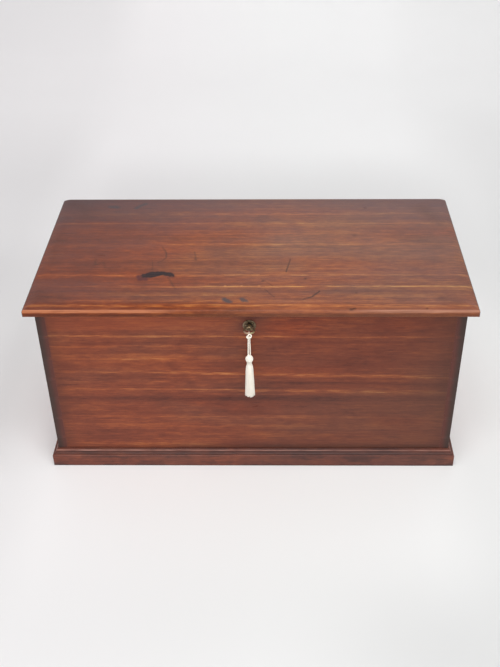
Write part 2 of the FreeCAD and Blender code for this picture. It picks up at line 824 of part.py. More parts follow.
def cord_tube(points, radius, name):
    """A round cord: straight runs joined by arcs as large as the runs allow."""
    edges, radii, start = [], [], points[0]
    for before, corner, after in zip(points, points[1:], points[2:]):
        back, ahead = (before - corner), (after - corner)
        turn = math.pi - back.getAngle(ahead)
        bend = cord_bend_share * min(back.Length, ahead.Length) / math.tan(turn / 2)
        trim = bend * math.tan(turn / 2)
        back.normalize()
        ahead.normalize()
        enter, leave = corner + back * trim, corner + ahead * trim
        inward = back + ahead
        inward.normalize()
        centre = corner + inward * (bend / math.cos(turn / 2))
        edges += [line(start, enter), arc(enter, centre - inward * bend, leave)]
        radii.append(round(bend, 1))
        start = leave
    edges.append(line(start, points[-1]))
    path = Part.Wire(edges)
    direction = points[1] - points[0]
    section = Part.Wire(Part.makeCircle(radius, points[0], direction))
    tube = path.makePipeShell([section], True, False)
    print(name, "bend radii", radii, "length", round(path.Length, 1),
          "volume ratio", round(tube.Volume / (math.pi * radius ** 2 * path.Length), 4))
    return tube


def tassel_head():
    """An upright ball of wrapped thread, cut off at the neck."""
    foot = V(tassel_neck_radius - tassel_neck_step, 0, neck_top)
    below = math.sqrt(1 - (foot.x / tassel_head_radius) ** 2)
    middle = V(0, 0, tassel_top - tassel_head_height / (1 + below))
    top, side = V(0, 0, tassel_top), V(tassel_head_radius, 0, middle.z)
    ellipse = Part.Ellipse(top, side, middle)
    first, last = sorted((ellipse.parameter(top), ellipse.parameter(foot)))
    outline = Part.ArcOfEllipse(ellipse, first, last).toShape()
    axis = V(0, 0, neck_top)
    return turned([outline, line(foot, axis), line(axis, top)], V(lock_x, knot_y, 0))


def tassel_neck():
    """The thread bound round the tassel below its head."""
    return rod(tassel_neck_radius, V(lock_x, knot_y, skirt_top), V(0, 0, 1), tassel_neck_height)


def tassel_skirt():
    """The fringe: a rounded shoulder under the neck, then widening to its cut end."""
    neck = V(tassel_neck_radius, 0, skirt_top)
    shoulder = V(tassel_shoulder_radius, 0, skirt_top - tassel_shoulder_drop)
    bulge = (neck + shoulder) * 0.5 + V(tassel_shoulder_bulge, 0, 0)
    end = V(tassel_skirt_radius, 0, skirt_top - tassel_skirt_length)
    foot, top = V(0, 0, end.z), V(0, 0, skirt_top)
    return turned([arc(neck, bulge, shoulder), line(shoulder, end), line(end, foot),
                   line(foot, top), line(top, neck)], V(lock_x, knot_y, 0))


# ---------------------------------------------------------------- the pieces

def main():
    """Write every piece."""
    os.makedirs("parts", exist_ok=True)
    starts = hinge_starts()
    up_holes = [nail(x, y, hole_gap) for x, y in nail_places()]

    front_cuts = lock_mortise() + up_holes
    front_cuts += [screw(head, way, lock_screw_length, hole_gap) for head, way in lock_screws()]
    front_cuts += [escutcheon_pin(sign, hole_gap) for sign in (-1, 1)]
    export("front_board", carved(long_board(front_face, inner_front), front_cuts))

    back_cuts = list(up_holes)
    for x in starts.values():
        back_cuts.append(case_leaf_recess(x))
        back_cuts += [screw(head, way, hinge_screw_length, hole_gap)
                      for head, way in hinge_screws(x, True)]
    export("back_board", carved(long_board(back_face, back_face - board_thickness), back_cuts))

    right_end = carved(end_board(), up_holes)
    export("right_end_board", right_end)
    export("left_end_board", mirrored(right_end))
    for name, (y0, y1) in zip(("front", "middle", "back"), bottom_board_edges()):
        board = block(-right_face, right_face, y0, y1, 0, bottom_thickness)
        export("bottom_board_" + name, carved(board, up_holes))
    export("bottom_nails", Part.makeCompound([nail(x, y) for x, y in nail_places()]))
    export("plinth_front", plinth_front())
    right_plinth = plinth_right()
    export("plinth_right", right_plinth)
    export("plinth_left", mirrored(right_plinth))

    lid_cuts = [link_plate_block(mortise_gap)]
    lid_cuts += [screw(head, way, lock_screw_length, hole_gap) for head, way in link_screws()]
    for side, x in starts.items():
        lid_cuts.append(lid_leaf_recess(x))
        lid_cuts += [screw(head, way, hinge_screw_length, hole_gap)
                     for head, way in hinge_screws(x, False)]
        export(side + "_hinge_case_leaf", hinge_leaf(x, True))
        export(side + "_hinge_lid_leaf", hinge_leaf(x, False))
        export(side + "_hinge_pin", rod(hinge_pin_radius, V(x, hinge_axis_y, case_height),
                                        V(1, 0, 0), hinge_length))
    export("lid_board", carved(lid_blank(), lid_cuts))
    for name, on_case in (("case", True), ("lid", False)):
        group = [screw(head, way, hinge_screw_length)
                 for x in starts.values() for head, way in hinge_screws(x, on_case)]
        export(name + "_hinge_screws", Part.makeCompound(group))

    export("lock_plate", lock_plate())
    export("lock_cap", lock_cap())
    export("lock_ward", lock_ward())
    export("lock_bolt", lock_bolt())
    export("lock_screws", Part.makeCompound([screw(head, way, lock_screw_length)
                                             for head, way in lock_screws()]))
    export("link_plate", link_plate())
    export("link_plate_screws", Part.makeCompound([screw(head, way, lock_screw_length)
                                                   for head, way in link_screws()]))
    export("escutcheon", escutcheon())
    export("escutcheon_pins", Part.makeCompound([escutcheon_pin(sign) for sign in (-1, 1)]))

    export("key", key())
    export("tassel_hitch", tassel_hitch())
    export("tassel_knot", tassel_knot())
    for name, side in (("cord_left", -1), ("cord_right", 1)):
        export(name, cord_tube(cord_route(side), cord_radius, name))
    export("tassel_head", tassel_head())
    export("tassel_neck", tassel_neck())
    export("tassel_skirt", tassel_skirt())


main()
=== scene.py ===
import math
import random

import bpy
import numpy as np
from bpy.props import FloatProperty, FloatVectorProperty, IntProperty, PointerProperty
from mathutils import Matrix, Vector


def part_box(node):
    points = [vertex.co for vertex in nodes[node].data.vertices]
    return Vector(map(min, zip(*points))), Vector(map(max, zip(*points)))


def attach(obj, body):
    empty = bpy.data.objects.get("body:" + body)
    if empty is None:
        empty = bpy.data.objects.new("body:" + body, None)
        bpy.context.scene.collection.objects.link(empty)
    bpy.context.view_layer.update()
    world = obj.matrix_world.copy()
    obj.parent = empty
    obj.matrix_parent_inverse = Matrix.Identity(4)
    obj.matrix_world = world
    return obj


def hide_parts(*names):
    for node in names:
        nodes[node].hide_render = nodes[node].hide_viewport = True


bl_info = {
    "name": "Blanket chest",
    "version": (1, 0, 0),
    "blender": (4, 5, 0),
    "location": "3D View > Sidebar > Chest",
    "description": "Dresses a mahogany blanket chest: its wood, brass and tassel, and a pale stage",
    "category": "Object",
}

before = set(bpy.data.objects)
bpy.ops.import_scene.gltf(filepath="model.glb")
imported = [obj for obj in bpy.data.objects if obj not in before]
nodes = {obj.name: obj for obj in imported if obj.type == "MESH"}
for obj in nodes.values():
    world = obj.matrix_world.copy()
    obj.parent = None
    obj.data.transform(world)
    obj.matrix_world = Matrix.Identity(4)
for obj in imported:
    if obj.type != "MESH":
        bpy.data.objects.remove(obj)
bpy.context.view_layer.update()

MM = 0.001
PER_METRE = 1000
X, Y, Z = 0, 1, 2


def middle(name, axis):
    """The middle of a node's box along an axis."""
    return sum(corner[axis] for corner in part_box(name)) / 2


KEY_X, KNOT_Y, KEY_Z = (middle("tassel_knot", axis) for axis in (X, Y, Z))
PLATE_Z = middle("escutcheon", Z)
BOW_FRONT = -0.251
CORD_LENGTH = 0.042


# ---------------------------------------------------------------- sizes and colours

def colour_setting(name, description, default):
    """A colour that a user may change."""
    return FloatVectorProperty(name=name, description=description, subtype="COLOR", size=3,
                               min=0, max=1, default=default)


def power_setting(name, description, default):
    """The power of a light."""
    return FloatProperty(name=name, description=description, subtype="POWER", unit="POWER",
                         min=0, default=default)


def length_setting(name, description, least, most, default):
    """A length in metres, within its limits."""
    return FloatProperty(name=name, description=description, subtype="DISTANCE", unit="LENGTH",
                         min=least, max=most, default=default)


def count_setting(name, description, least, most, default):
    """A number of pieces, within its limits."""
    return IntProperty(name=name, description=description, min=least, max=most, default=default)


class WoodSettings(bpy.types.PropertyGroup):
    """Colours and sheen of the chest's boards."""
    heartwood: colour_setting(
        "Dark bands", "Colour of the darkest bands of the polished mahogany", (0.075, 0.021, 0.014))
    mahogany: colour_setting(
        "Mahogany", "Main colour of the polished mahogany", (0.252, 0.062, 0.028))
    ribbon: colour_setting(
        "Ribbons", "Colour of the lighter ribbons in the mahogany", (0.430, 0.120, 0.038))
    bright_streak: colour_setting(
        "Bright streaks",
        "Colour of the few brightest streaks along the grain", (0.660, 0.270, 0.085))
    rubbed: colour_setting(
        "Rubbed edges",
        "Colour of the edges where hands have thinned the polish", (0.520, 0.215, 0.130))
    # Pale film of old polish; also the colour of the painted reflection of the pale room on the lid
    # and front
    bloom_and_reflection: colour_setting(
        "Bloom", "Colour of the pale film on the lid's old polish", (0.122, 0.082, 0.094))
    # Old wax and dirt; also the colour of painted shade under the lid, on the lid's nose and ends,
    # and in the plinth's hollow and foot
    grime_and_shade: colour_setting(
        "Grime", "Colour of the old wax and dirt in the corners", (0.050, 0.020, 0.014))
    end_grain: colour_setting(
        "End grain",
        "Colour of the boards' ends, where the polish has sunk in", (0.060, 0.028, 0.020))
    bare_wood: colour_setting(
        "Bare wood", "Colour of the unpolished faces inside the chest", (0.330, 0.165, 0.085))
    pine: colour_setting("Pine", "Colour of the pine boards of the bottom", (0.560, 0.370, 0.200))
    ink: colour_setting(
        "Stain", "Colour of the ink stain and dark spots on the lid", (0.009, 0.005, 0.008))
    sheen: FloatProperty(
        name="Polish roughness", description="Roughness of the old wax polish",
        subtype="FACTOR", min=0.05, max=1, default=0.36)


class BrassSettings(bpy.types.PropertyGroup):
    """Colours of the metal fittings."""
    aged_brass: colour_setting(
        "Aged brass", "Colour of the lock, hinges and escutcheon", (0.430, 0.320, 0.130))
    dull_brass: colour_setting(
        "Dull brass",
        "Colour of the key and the escutcheon, brown with handling", (0.310, 0.222, 0.135))
    rubbed_brass: colour_setting(
        "Rubbed brass", "Colour of brass where hands keep it bright", (0.720, 0.560, 0.330))
    tarnish: colour_setting(
        "Tarnish", "Colour of the dark film in the brass's corners", (0.036, 0.027, 0.016))
    steel: colour_setting("Steel", "Colour of the screws, nails and bolt", (0.300, 0.290, 0.280))


class TasselSettings(bpy.types.PropertyGroup):
    """Sizes and colour of the cord and tassel on the key."""
    thread: colour_setting("Thread", "Colour of the ivory thread", (1.000, 0.955, 0.865))
    cord_thickness: length_setting("Cord", "Thickness of each strand of cord", 0.001, 0.004, 0.0026)
    plies: count_setting("Plies", "Number of threads laid up into each strand", 2, 5, 3)
    lay: length_setting(
        "Lay", "Length of cord in which a thread goes round it once", 0.002, 0.02, 0.0062)
    head_ridges: count_setting("Head threads", "Number of threads seen round the head", 20, 80, 46)
    neck_turns: count_setting("Neck turns", "Turns of thread that bind the neck", 3, 9, 5)
    fringe_threads: count_setting(
        "Fringe threads", "Number of threads in the outside of the fringe", 60, 260, 118)


class StageSettings(bpy.types.PropertyGroup):
    """The camera, the lights and the paper sweep."""
    camera_place: FloatVectorProperty(
        name="Camera place", description="Where the camera stands",
        subtype="TRANSLATION", unit="LENGTH", size=3, default=(0.0497, -1.7950, 1.5167))
    camera_turn: FloatVectorProperty(
        name="Camera turn", description="How the camera is turned",
        subtype="EULER", unit="ROTATION", size=3,
        default=tuple(math.radians(a) for a in (53.95887, 0.42128, 0.57946)))
    lens: FloatProperty(
        name="Lens", description="Focal length of the camera, in millimetres",
        min=20, max=200, default=50.0)
    paper: colour_setting("Paper", "Colour of the paper sweep", (0.921, 0.927, 0.922))
    daylight: FloatProperty(
        name="Daylight", description="Strength of the even light from overhead",
        min=0, max=5, default=0.16)
    room_light: FloatProperty(
        name="Room light", description="Strength of the pale room that is seen all round",
        min=0, max=5, default=0.63)
    overhead_light: power_setting("Overhead light", "Power of the large light above", 232.0)
    front_light: power_setting("Front light", "Power of the large light far in front", 76.0)
    right_light: power_setting("Right light", "Power of the soft light on the right", 13.0)
    left_light: power_setting("Left light", "Power of the soft light on the left", 9.0)
    back_light: power_setting("Back light", "Power of the light on the paper behind the chest", 7.0)


# ---------------------------------------------------------------- shader maths

# How far each seed moves its noise along x, y and z
SEED_STEPS = (7.31, 3.17, 5.93)
# How squarely a face looks along an axis where it starts to count, and where it counts in full
SQUARE = (0.6, 0.8)


class Amount:
    """A number in a finish's nodes. Arithmetic on it adds Math nodes."""

    def __init__(self, finish, socket):
        self.finish = finish
        self.socket = socket

    def math(self, operation, *values):
        return self.finish.number("ShaderNodeMath", {"operation": operation},
                                  dict(enumerate(values)))

    def __add__(self, other):
        return self.math("ADD", self, other)

    def __sub__(self, other):
        return self.math("SUBTRACT", self, other)

    def __mul__(self, other):
        return self.math("MULTIPLY", self, other)

    def __rsub__(self, other):
        return self.math("SUBTRACT", other, self)

    def __abs__(self):
        return self.math("ABSOLUTE", self)

    __radd__ = __add__
    __rmul__ = __mul__

    def least(self, other):
        return self.math("MINIMUM", self, other)

    def most(self, other):
        return self.math("MAXIMUM", self, other)

    def rise(self, start, end):
        """0 before start and 1 after end, smoothly between. It falls if end is before start."""
        low, high = min(start, end), max(start, end)
        values = {"From Min": low, "From Max": high, "Value": self}
        if end < start:
            values.update({"To Min": 1.0, "To Max": 0.0})
        return self.finish.number("ShaderNodeMapRange", {"interpolation_type": "SMOOTHSTEP"},
                                  values)

    def hump(self, middle, half):
        """1 at the middle and 0 beyond half its width."""
        return abs(self - middle).rise(half, 0)


class Finish:
    """A material and the calls that add nodes to it. Lengths in it are in millimetres."""

    def __init__(self, name):
        self.material = bpy.data.materials.new(name)
        self.material.use_nodes = True
        self.tree = self.material.node_tree
        self.tree.nodes.clear()
        self.spot = self.vector("ShaderNodeTexCoord", {}, {}, "Object")
        self.place = self.parts(self.scaled(self.spot, (PER_METRE, PER_METRE, PER_METRE)))
        self.facing = self.parts(self.vector("ShaderNodeTexCoord", {}, {}, "Normal"))

    @classmethod
    def of_world(cls, world):
        """The same calls for a world's nodes, which start empty."""
        sky = cls.__new__(cls)
        sky.tree = world.node_tree
        sky.tree.nodes.clear()
        return sky

    def node(self, kind, settings, values):
        """A node of that kind: its settings are set first, then its sockets' values or links."""
        made = self.tree.nodes.new(kind)
        for name, value in settings.items():
            if name == "stops":
                self.set_stops(made.color_ramp, value)
            else:
                setattr(made, name, value)
        for name, value in values.items():
            socket = made.inputs[name]
            value = value.socket if isinstance(value, Amount) else value
            if isinstance(value, bpy.types.NodeSocket):
                self.tree.links.new(value, socket)
            else:
                socket.default_value = value
        return made

    @staticmethod
    def set_stops(ramp, stops):
        while len(ramp.elements) < len(stops):
            ramp.elements.new(0.5)
        for element, (position, colour) in zip(ramp.elements, stops):
            element.position = position
            element.color = (*colour, 1)

    def number(self, kind, settings, values, output=0):
        return Amount(self, self.node(kind, settings, values).outputs[output])

    def vector(self, kind, settings, values, output=0):
        return self.node(kind, settings, values).outputs[output]

    def parts(self, vector):
        """The x, y and z of a vector."""
        split = self.node("ShaderNodeSeparateXYZ", {}, {0: vector})
        return [Amount(self, socket) for socket in split.outputs]

    def faces(self, axis, towards=1):
        """1 on the faces that look along an axis, or against it where towards is -1."""
        return (self.facing[axis] * towards).rise(*SQUARE)

    def vector_math(self, operation, values, output="Vector"):
        return self.vector("ShaderNodeVectorMath", {"operation": operation}, values, output)

    def scaled(self, vector, factors):
        return self.vector_math("MULTIPLY", {0: vector, 1: factors})

    def shifted(self, vector, step):
        return self.vector_math("ADD", {0: vector, 1: step})

    def flat(self, first, second):
        """A vector of two numbers, for marks on a face."""
        return self.vector("ShaderNodeCombineXYZ", {}, {0: first, 1: second})

    def noise(self, size, seed, detail=2.0, rough=0.5):
        """Soft noise whose lumps are about size millimetres along each axis. It averages 0.5."""
        vector = self.scaled(self.spot, tuple(PER_METRE / s for s in size))
        vector = self.shifted(vector, tuple(seed * step for step in SEED_STEPS))
        return self.number("ShaderNodeTexNoise", {}, {
            "Vector": vector, "Scale": 1.0, "Detail": detail, "Roughness": rough})

    def mix(self, factor, first, second):
        """The first colour where the factor is 0 and the second where it is 1."""
        return self.node("ShaderNodeMix", {"data_type": "RGBA", "clamp_factor": True}, {
            0: factor, 6: self.colour(first), 7: self.colour(second)}).outputs[2]

    def layered(self, colour, *layers):
        """The colour with each (factor, colour) laid over it in turn."""
        for factor, over in layers:
            colour = self.mix(factor, colour, over)
        return colour

    @staticmethod
    def colour(value):
        """A colour as a socket takes it, or the link that it is already."""
        return value if isinstance(value, bpy.types.NodeSocket) else (*value, 1)

    def shades(self, tone, stops):
        """Colours by tone."""
        return self.node("ShaderNodeValToRGB", {"stops": stops}, {0: tone}).outputs[0]

    def length(self, vector):
        return Amount(self, self.vector_math("LENGTH", {0: vector}, "Value"))

    def mark(self, flat, points, soft):
        """1 on a stroke and 0 away from it. Each point is its place and half the width."""
        nearest = None
        for start, end in zip(points, points[1:] or points):
            run = Vector(end[:2]) - Vector(start[:2])
            off = self.shifted(flat, (-start[0], -start[1], 0))
            half = start[2]
            if run.length > 0:
                along = Amount(self, self.vector_math(
                    "DOT_PRODUCT", {0: off, 1: (*(run / run.length_squared), 0)}, "Value"))
                along = along.most(0).least(1)
                back = self.vector_math("SCALE", {0: (*run, 0), "Scale": along})
                off = self.vector_math("SUBTRACT", {0: off, 1: back})
                half = along * (end[2] - start[2]) + start[2]
            gap = self.length(off) - half
            nearest = gap if nearest is None else nearest.least(gap)
        return nearest.rise(soft, -soft)

    def bump(self, height, depth, rounded=0.0):
        """A normal from a height of 0 to 1 that is depth millimetres deep, with edges rounded."""
        values = {"Height": height, "Distance": depth * MM, "Strength": 1.0}
        if rounded:
            values["Normal"] = self.node("ShaderNodeBevel", {"samples": 4},
                                         {"Radius": rounded * MM}).outputs[0]
        return self.node("ShaderNodeBump", {}, values).outputs[0]

    def done(self, **sockets):
        """Joins up the shader. Sockets are named as on it, with _ for a space."""
        values = {name.replace("_", " "): value for name, value in sockets.items()}
        shader = self.node("ShaderNodeBsdfPrincipled", {}, values)
        self.node("ShaderNodeOutputMaterial", {}, {0: shader.outputs[0]})
        return self.material


def dress(finish, *names):
    """Gives the named nodes of the chest that finish."""
    for name in names:
        mesh = nodes[name].data
        mesh.materials.clear()
        mesh.materials.append(finish)
        mesh.polygons.foreach_set("material_index", [0] * len(mesh.polygons))


# ---------------------------------------------------------------- wood

# Streaks along the grain: place across the board, half its width and strength (below 0 is dark),
# then where it starts and ends along the board (None is the board's end), and its slant
LID_STREAKS = (
    (226, 12, -0.10), (190, 14, -0.07, -420, 300), (164, 10, 0.18), (140, 12, -0.08),
    (117.5, 6, 0.23), (92, 12, -0.07, -330, 420), (68, 7, 0.10), (46, 9, -0.06, -420, 60),
    (22, 9, 0.13, -230, None), (0, 4, 0.12, 60, 330), (-60, 16, -0.07), (-84, 7, 0.07, -240, 300),
    (-109, 7, 0.24, -460, None), (-130, 10, 0.05, -300, None), (-153, 6, 0.20, -420, -190),
    (-153, 4.5, 0.46, -190, None), (-172, 7, -0.13), (-187, 4, 0.20, -300, 60),
    (-190, 12, 0.11, 90, 400), (-208, 5, 0.16, -380, 380), (-217, 4, -0.10, -420, 420),
    (-224, 8, 0.30),
)
FRONT_STREAKS = (
    (404, 18, 0.07), (384, 5, 0.06, -400, 120), (362, 6, 0.24, None, None, -0.006),
    (347, 7, -0.07, -420, 420), (334, 5, 0.12, -440, 40, -0.006), (320, 10, -0.08, -440, -60),
    (318, 9, 0.07, -20, None), (302, 5, 0.10, -420, -60), (285, 10, -0.08),
    (261, 8, 0.30, -170, None, -0.020), (267, 6, 0.17, -440, -150), (240, 9, 0.08, -420, 60),
    (238, 9, -0.22, 40, None, -0.014), (214, 9, 0.28, -40, None, -0.010),
    (217, 6, 0.20, -440, -20, -0.004), (191, 14, -0.22), (164, 9, -0.06),
    (150, 6, -0.08, -300, 430), (138, 7, 0.12, -420, 250), (113, 9, 0.11, -420, 300),
    (97, 6, -0.08, -420, 420), (84, 9, 0.05), (56, 12, 0.22, -400, -90), (60, 18, -0.12, -60, 260),
)

# Half the length in millimetres over which a streak starts, and over which it ends
START_FADE, END_FADE = 50, 60
SEEDS_PER_BOARD = 11

# Marks on top of the lid: how strong, how soft and how ragged they are, and their places, which
# are x, y and half the width
LID_MARKS = {
    "grime_and_shade": (
        (0.34, 30, 0.5, (-452, 212, 6), (-420, 205, 10), (-398, 150, 8)),
        (0.26, 26, 0.5, (-448, 60, 6), (-440, -60, 8)),
        (0.40, 30, 0.5, (-450, -190, 12), (-402, -196, 8)),
        (0.30, 22, 0.5, (-246, -214, 1), (-212, -212, 2)),
        (0.42, 26, 0.5, (400, -200, 6), (425, -212, 10)),
        (0.50, 6, 0.6, (-346, -42, 1), (-344, -67, 3), (-328, -54, 1), (-320, -79, 1),
         (-290, -75, 1)),
        (0.28, 24, 0.5, (404, 190, 20), (436, 120, 12)),
        (0.22, 30, 0.5, (330, 60, 16), (420, 20, 16)),
    ),
    "rust": (
        (0.95, 4, 1.0, (-242, -114, 6), (-238, -125, 6), (-228, -124, 7)),
        (0.45, 6, 0.8, (-228, -104, 5), (-205, -104, 9), (-168, -112, 5)),
    ),
    "scratch": (
        (0.45, 4, 0.6, (-178, -118, 1), (-170, -138, 1.6), (-160, -161, 0.8)),
        (0.40, 2.5, 0.6, (-220, -47, 0.5), (-215, -88, 0.9)),
        (0.55, 2.5, 0.6, (-204, 10, 0.6), (-193, -12, 1.4), (-190, -34, 1.6), (-198, -50, 1),
         (-207, -56, 0.6)),
        (0.50, 3, 0.6, (-129, -12, 0.8), (-124, -46, 1.6)),
        (0.62, 1.8, 0.4, (85, -43, 1.0), (75, -95, 1.6)),
        (0.62, 1.8, 0.4, (144.5, -171, 1.8), (128, -192, 2.2), (109, -202, 1.0)),
        (0.45, 2, 0.4, (30, -165, 1.0), (49.5, -194.5, 1.2)),
        (0.40, 2, 0.5, (20, -120, 0.6), (46, -152, 0.8)),
        (0.60, 3, 0.6, (25, -132, 2.4)),
        (0.60, 3, 0.6, (116, -123, 2.6)),
        (0.62, 3, 0.8, (206, -235, 2.4), (214, -232, 2)),
        (0.50, 3, 0.6, (221, -178, 2.2)),
        (0.55, 3, 0.6, (362, -232, 2.2)),
        (0.40, 5, 0.6, (268, 192, 3)),
        (0.34, 7, 0.6, (234, 60, 4)),
    ),
    "slate": (
        (0.80, 6, 0.8, (-348, 200, 4), (-331, 198, 6)),
        (0.80, 6, 0.8, (-284, 193, 4), (-275, 206, 5), (-264, 214, 4)),
        (0.86, 4.0, 1.3, (-55, -200, 4.5), (-51, -206, 6.5), (-43, -210, 5)),
        (0.80, 4.0, 1.3, (-18, -200, 4.5), (-13, -206, 6), (-7, -209, 4)),
    ),
    "bright": (
        (0.75, 3, 0.4, (-55, -151.5, 2.0)),
        (0.75, 3, 0.4, (-20, -151.5, 2.0)),
        (0.65, 3, 0.4, (17, -151.5, 2.0)),
        (0.55, 3, 0.4, (-57, -108, 0.8), (-38, -108, 1.2)),
        (0.55, 3, 0.4, (2, -108, 1.2), (16, -108, 0.8)),
    ),
    "ink": (
        (1.0, 2.2, 1.35, (-230, -111, 8), (-217, -107, 11.5), (-204, -103, 9),
         (-191.5, -101.5, 7.5), (-180.5, -103.5, 7), (-172, -109, 5.5), (-167, -114, 2.5)),
    ),
}


def times(colour, *factors):
    """A colour times a number, or times one number for each of its parts."""
    return tuple(part * factor for part, factor in zip(colour, factors * 3))


def streaks(across, along, rows, break_up):
    """The sum of the streaks of a board, positive where it is lighter."""
    total = None
    for row in rows:
        place, half, strength, start, end, slant = (*row, None, None, None)[:6]
        line = across - along * slant if slant else across
        one = line.hump(place, half) * strength
        if start is not None:
            one = one * along.rise(start - START_FADE, start + START_FADE)
        if end is not None:
            one = one * along.rise(end + END_FADE, end - END_FADE)
        total = one if total is None else total + one
    return total * break_up


def mahogany(context, name, along, across, rows=(), seed=0, lift=0.0, gloss=0.24, run=1.0,
             figure=1.0, marks=None, bare=None):
    """Old polished mahogany. Along and across are the grain's and the board's width's axes.
    Run and figure are how long and how strong its flecks are beside those of the lid."""
    wood = context.scene.chest_wood
    finish = Finish(name)
    place, facing = finish.place, finish.facing

    def noise(lengths, number, detail=3.0, rough=0.5):
        """Noise about 0. Its lengths are along, across and through the board."""
        order = {along: lengths[0], across: lengths[1]}
        size = tuple(order.get(axis, lengths[2]) for axis in (X, Y, Z))
        return finish.noise(size, seed * SEEDS_PER_BOARD + number, detail, rough) - 0.5

    broad = noise((430, 80, 60), 1, 4.0, 0.6)
    patch = noise((95, 48, 60), 2, rough=0.6)
    bands = noise((800, 16, 30), 3, rough=0.6)
    ribbon = noise((230 * run, 4.4, 9), 4, 4.0, 0.7)
    mottle = noise((26 * run, 7, 10), 5, rough=0.65)
    dash = noise((44 * run, 2.2, 4.0), 6, 2.0, 0.6)
    fibre = noise((13, 0.8, 1.4), 7, rough=0.7)
    pore = noise((6.5, 0.42, 0.6), 8, 1.0).rise(0.10, 0.22)
    wander = noise((520, 70, 60), 9, 1.0) * 5 + noise((120, 30, 40), 10, 1.0) * 0.8

    tone = 0.40 + lift + broad * 0.42 + patch * 0.40 + fibre * 0.62
    tone = tone + (bands * 0.26 + ribbon * 0.50 + mottle * 0.50 + dash * 0.46) * figure
    if rows:
        break_up = 0.42 + dash.rise(-0.12, 0.12) * 0.80 + ribbon * 0.9 + mottle * 0.6
        tone = tone + streaks(place[across] + wander, place[along], rows, break_up)
    colour = finish.shades(tone - pore * 0.14, [
        (0.0, wood.heartwood), (0.40, wood.mahogany), (0.66, wood.ribbon),
        (0.95, wood.bright_streak)])
    browner = noise((360, 90, 60), 11) + place[X] * 0.00022
    colour = finish.mix(browner.rise(-0.12, 0.16), colour,
                        finish.scaled(colour, (0.91, 1.14, 1.34)))

    end = abs(facing[along]).rise(0.55, 0.85)
    rings = noise((40, 6, 2.2), 12, rough=0.6).rise(-0.12, 0.12)
    colour = finish.mix(end * 0.95, colour,
                        finish.mix(rings, wood.end_grain, times(wood.end_grain, 0.62)))

    rough = wood.sheen + patch * 0.30 + fibre * 0.16 + end * 0.18
    height = 0.75 + fibre * 0.5 - pore * 0.6
    if marks:
        colour = marks(finish, wood, colour, broad, dash)
    if bare:
        inside = bare(finish)
        raw = finish.mix(ribbon.rise(-0.20, 0.20), wood.bare_wood, times(wood.bare_wood, 0.62))
        raw = finish.mix(patch.rise(-0.05, 0.25) * 0.35, raw, times(wood.bare_wood, 0.5))
        colour = finish.mix(inside, colour, raw)
        rough = rough + inside * 0.35
    return finish.done(Base_Color=colour, Roughness=rough, Normal=finish.bump(height, 0.10, 1.0),
                       IOR=1.5, Specular_IOR_Level=gloss)


def lid_marks(finish, wood, colour, broad, dash):
    """The ink stain, spots and scratches on top of the lid, its nose's wear, and painted
    reflection, highlight and shade.
    """
    x, y, z = finish.place
    facing = finish.facing
    shake_x, shake_y = ((finish.noise((10, 10, 10), seed, detail=4.0, rough=0.7) - 0.5) * 11
                        for seed in (21, 22))
    top = finish.faces(Z)

    colour = finish.mix(x.rise(-230, 90), finish.scaled(colour, (0.90, 0.765, 0.555)),
                        finish.scaled(colour, (0.96, 1.03, 0.90)))
    # Painted reflection of the bright room on the top, growing towards the back and the right, in
    # patches
    bloom_and_reflection = y.rise(60, 235) * 0.46 + x.rise(60, 470) * 0.20 + 0.03 + broad * 0.5
    # Darker towards the left, the back, and the middle of the left half
    lid_darkening = x.rise(-120, -440) * 0.35 + y.rise(170, 235) * 0.10
    lid_darkening = lid_darkening + y.rise(-10, 110) * x.rise(90, -170) * 0.20
    colour = finish.layered(
        colour,
        (y.rise(-196, -224) * x.rise(-120, 80) * 0.16, wood.rubbed),
        (y.hump(40, 150) * x.rise(-60, 80) * 0.07, (0.450, 0.330, 0.300)),
        # Painted reflection on the top
        (bloom_and_reflection * facing[Z].rise(0.2, 0.9), wood.bloom_and_reflection),
        # Darker towards the left and the back
        ((lid_darkening + broad * 0.8) * top, (0.070, 0.042, 0.044)))

    # What each kind of mark is multiplied by, and its colour
    kinds = {"grime_and_shade": (1, wood.grime_and_shade), "rust": (1, (0.100, 0.022, 0.020)),
             "scratch": (1.3, (0.040, 0.017, 0.014)), "slate": (1, (0.056, 0.052, 0.058)),
             "bright": (1, wood.bright_streak), "ink": (0.94 + dash * 1.1, wood.ink)}
    for kind, (share, shade) in kinds.items():
        total = None
        for strength, soft, ragged, *points in LID_MARKS[kind]:
            spot = finish.flat(x + shake_x * ragged, y + shake_y * ragged)
            one = finish.mark(spot, points, soft) * strength
            total = one if total is None else total.most(one)
        colour = finish.mix(total * share * top, colour, shade)

    # Painted highlight on the nose's upper part, strongest in its left and right thirds, over paler
    # wood where the polish has thinned
    nose = facing[Y].rise(-0.32, -0.45)
    wear_and_highlight = x.rise(-110, -230) * 0.95 + x.rise(150, 300) * 0.80 + 0.03
    wear_and_highlight = wear_and_highlight * (0.85 + dash * 2.0 + broad * 1.2)
    rubbed = finish.mix(x.rise(-120, 160), (0.500, 0.180, 0.085), (0.450, 0.210, 0.135))
    return finish.layered(
        colour,
        # Painted shade on the nose's lower part
        (nose * z.rise(437, 432) * 0.45, wood.grime_and_shade),
        (nose * facing[Z].rise(-0.15, -0.5) * 0.35, wood.ribbon),
        # Painted highlight on the nose, with wear
        (nose * z.rise(435.0, 437.5) * wear_and_highlight, rubbed),
        # Painted shadow on the lid's left and right ends
        (abs(facing[X]).rise(0.35, 0.75) * 0.6, wood.grime_and_shade))


# Heights in millimetres between which the case grows darker at its foot, and painted shade fades in
# under the lid
FOOT, EAVES = (62, 45), (398, 424)


def under_lid(finish):
    """1 on the part of the lid's underside that lies inside the case."""
    x, y, _ = finish.place
    inside = abs(x).rise(452, 448) * abs(y).rise(221, 217)
    return finish.faces(Z, -1) * inside


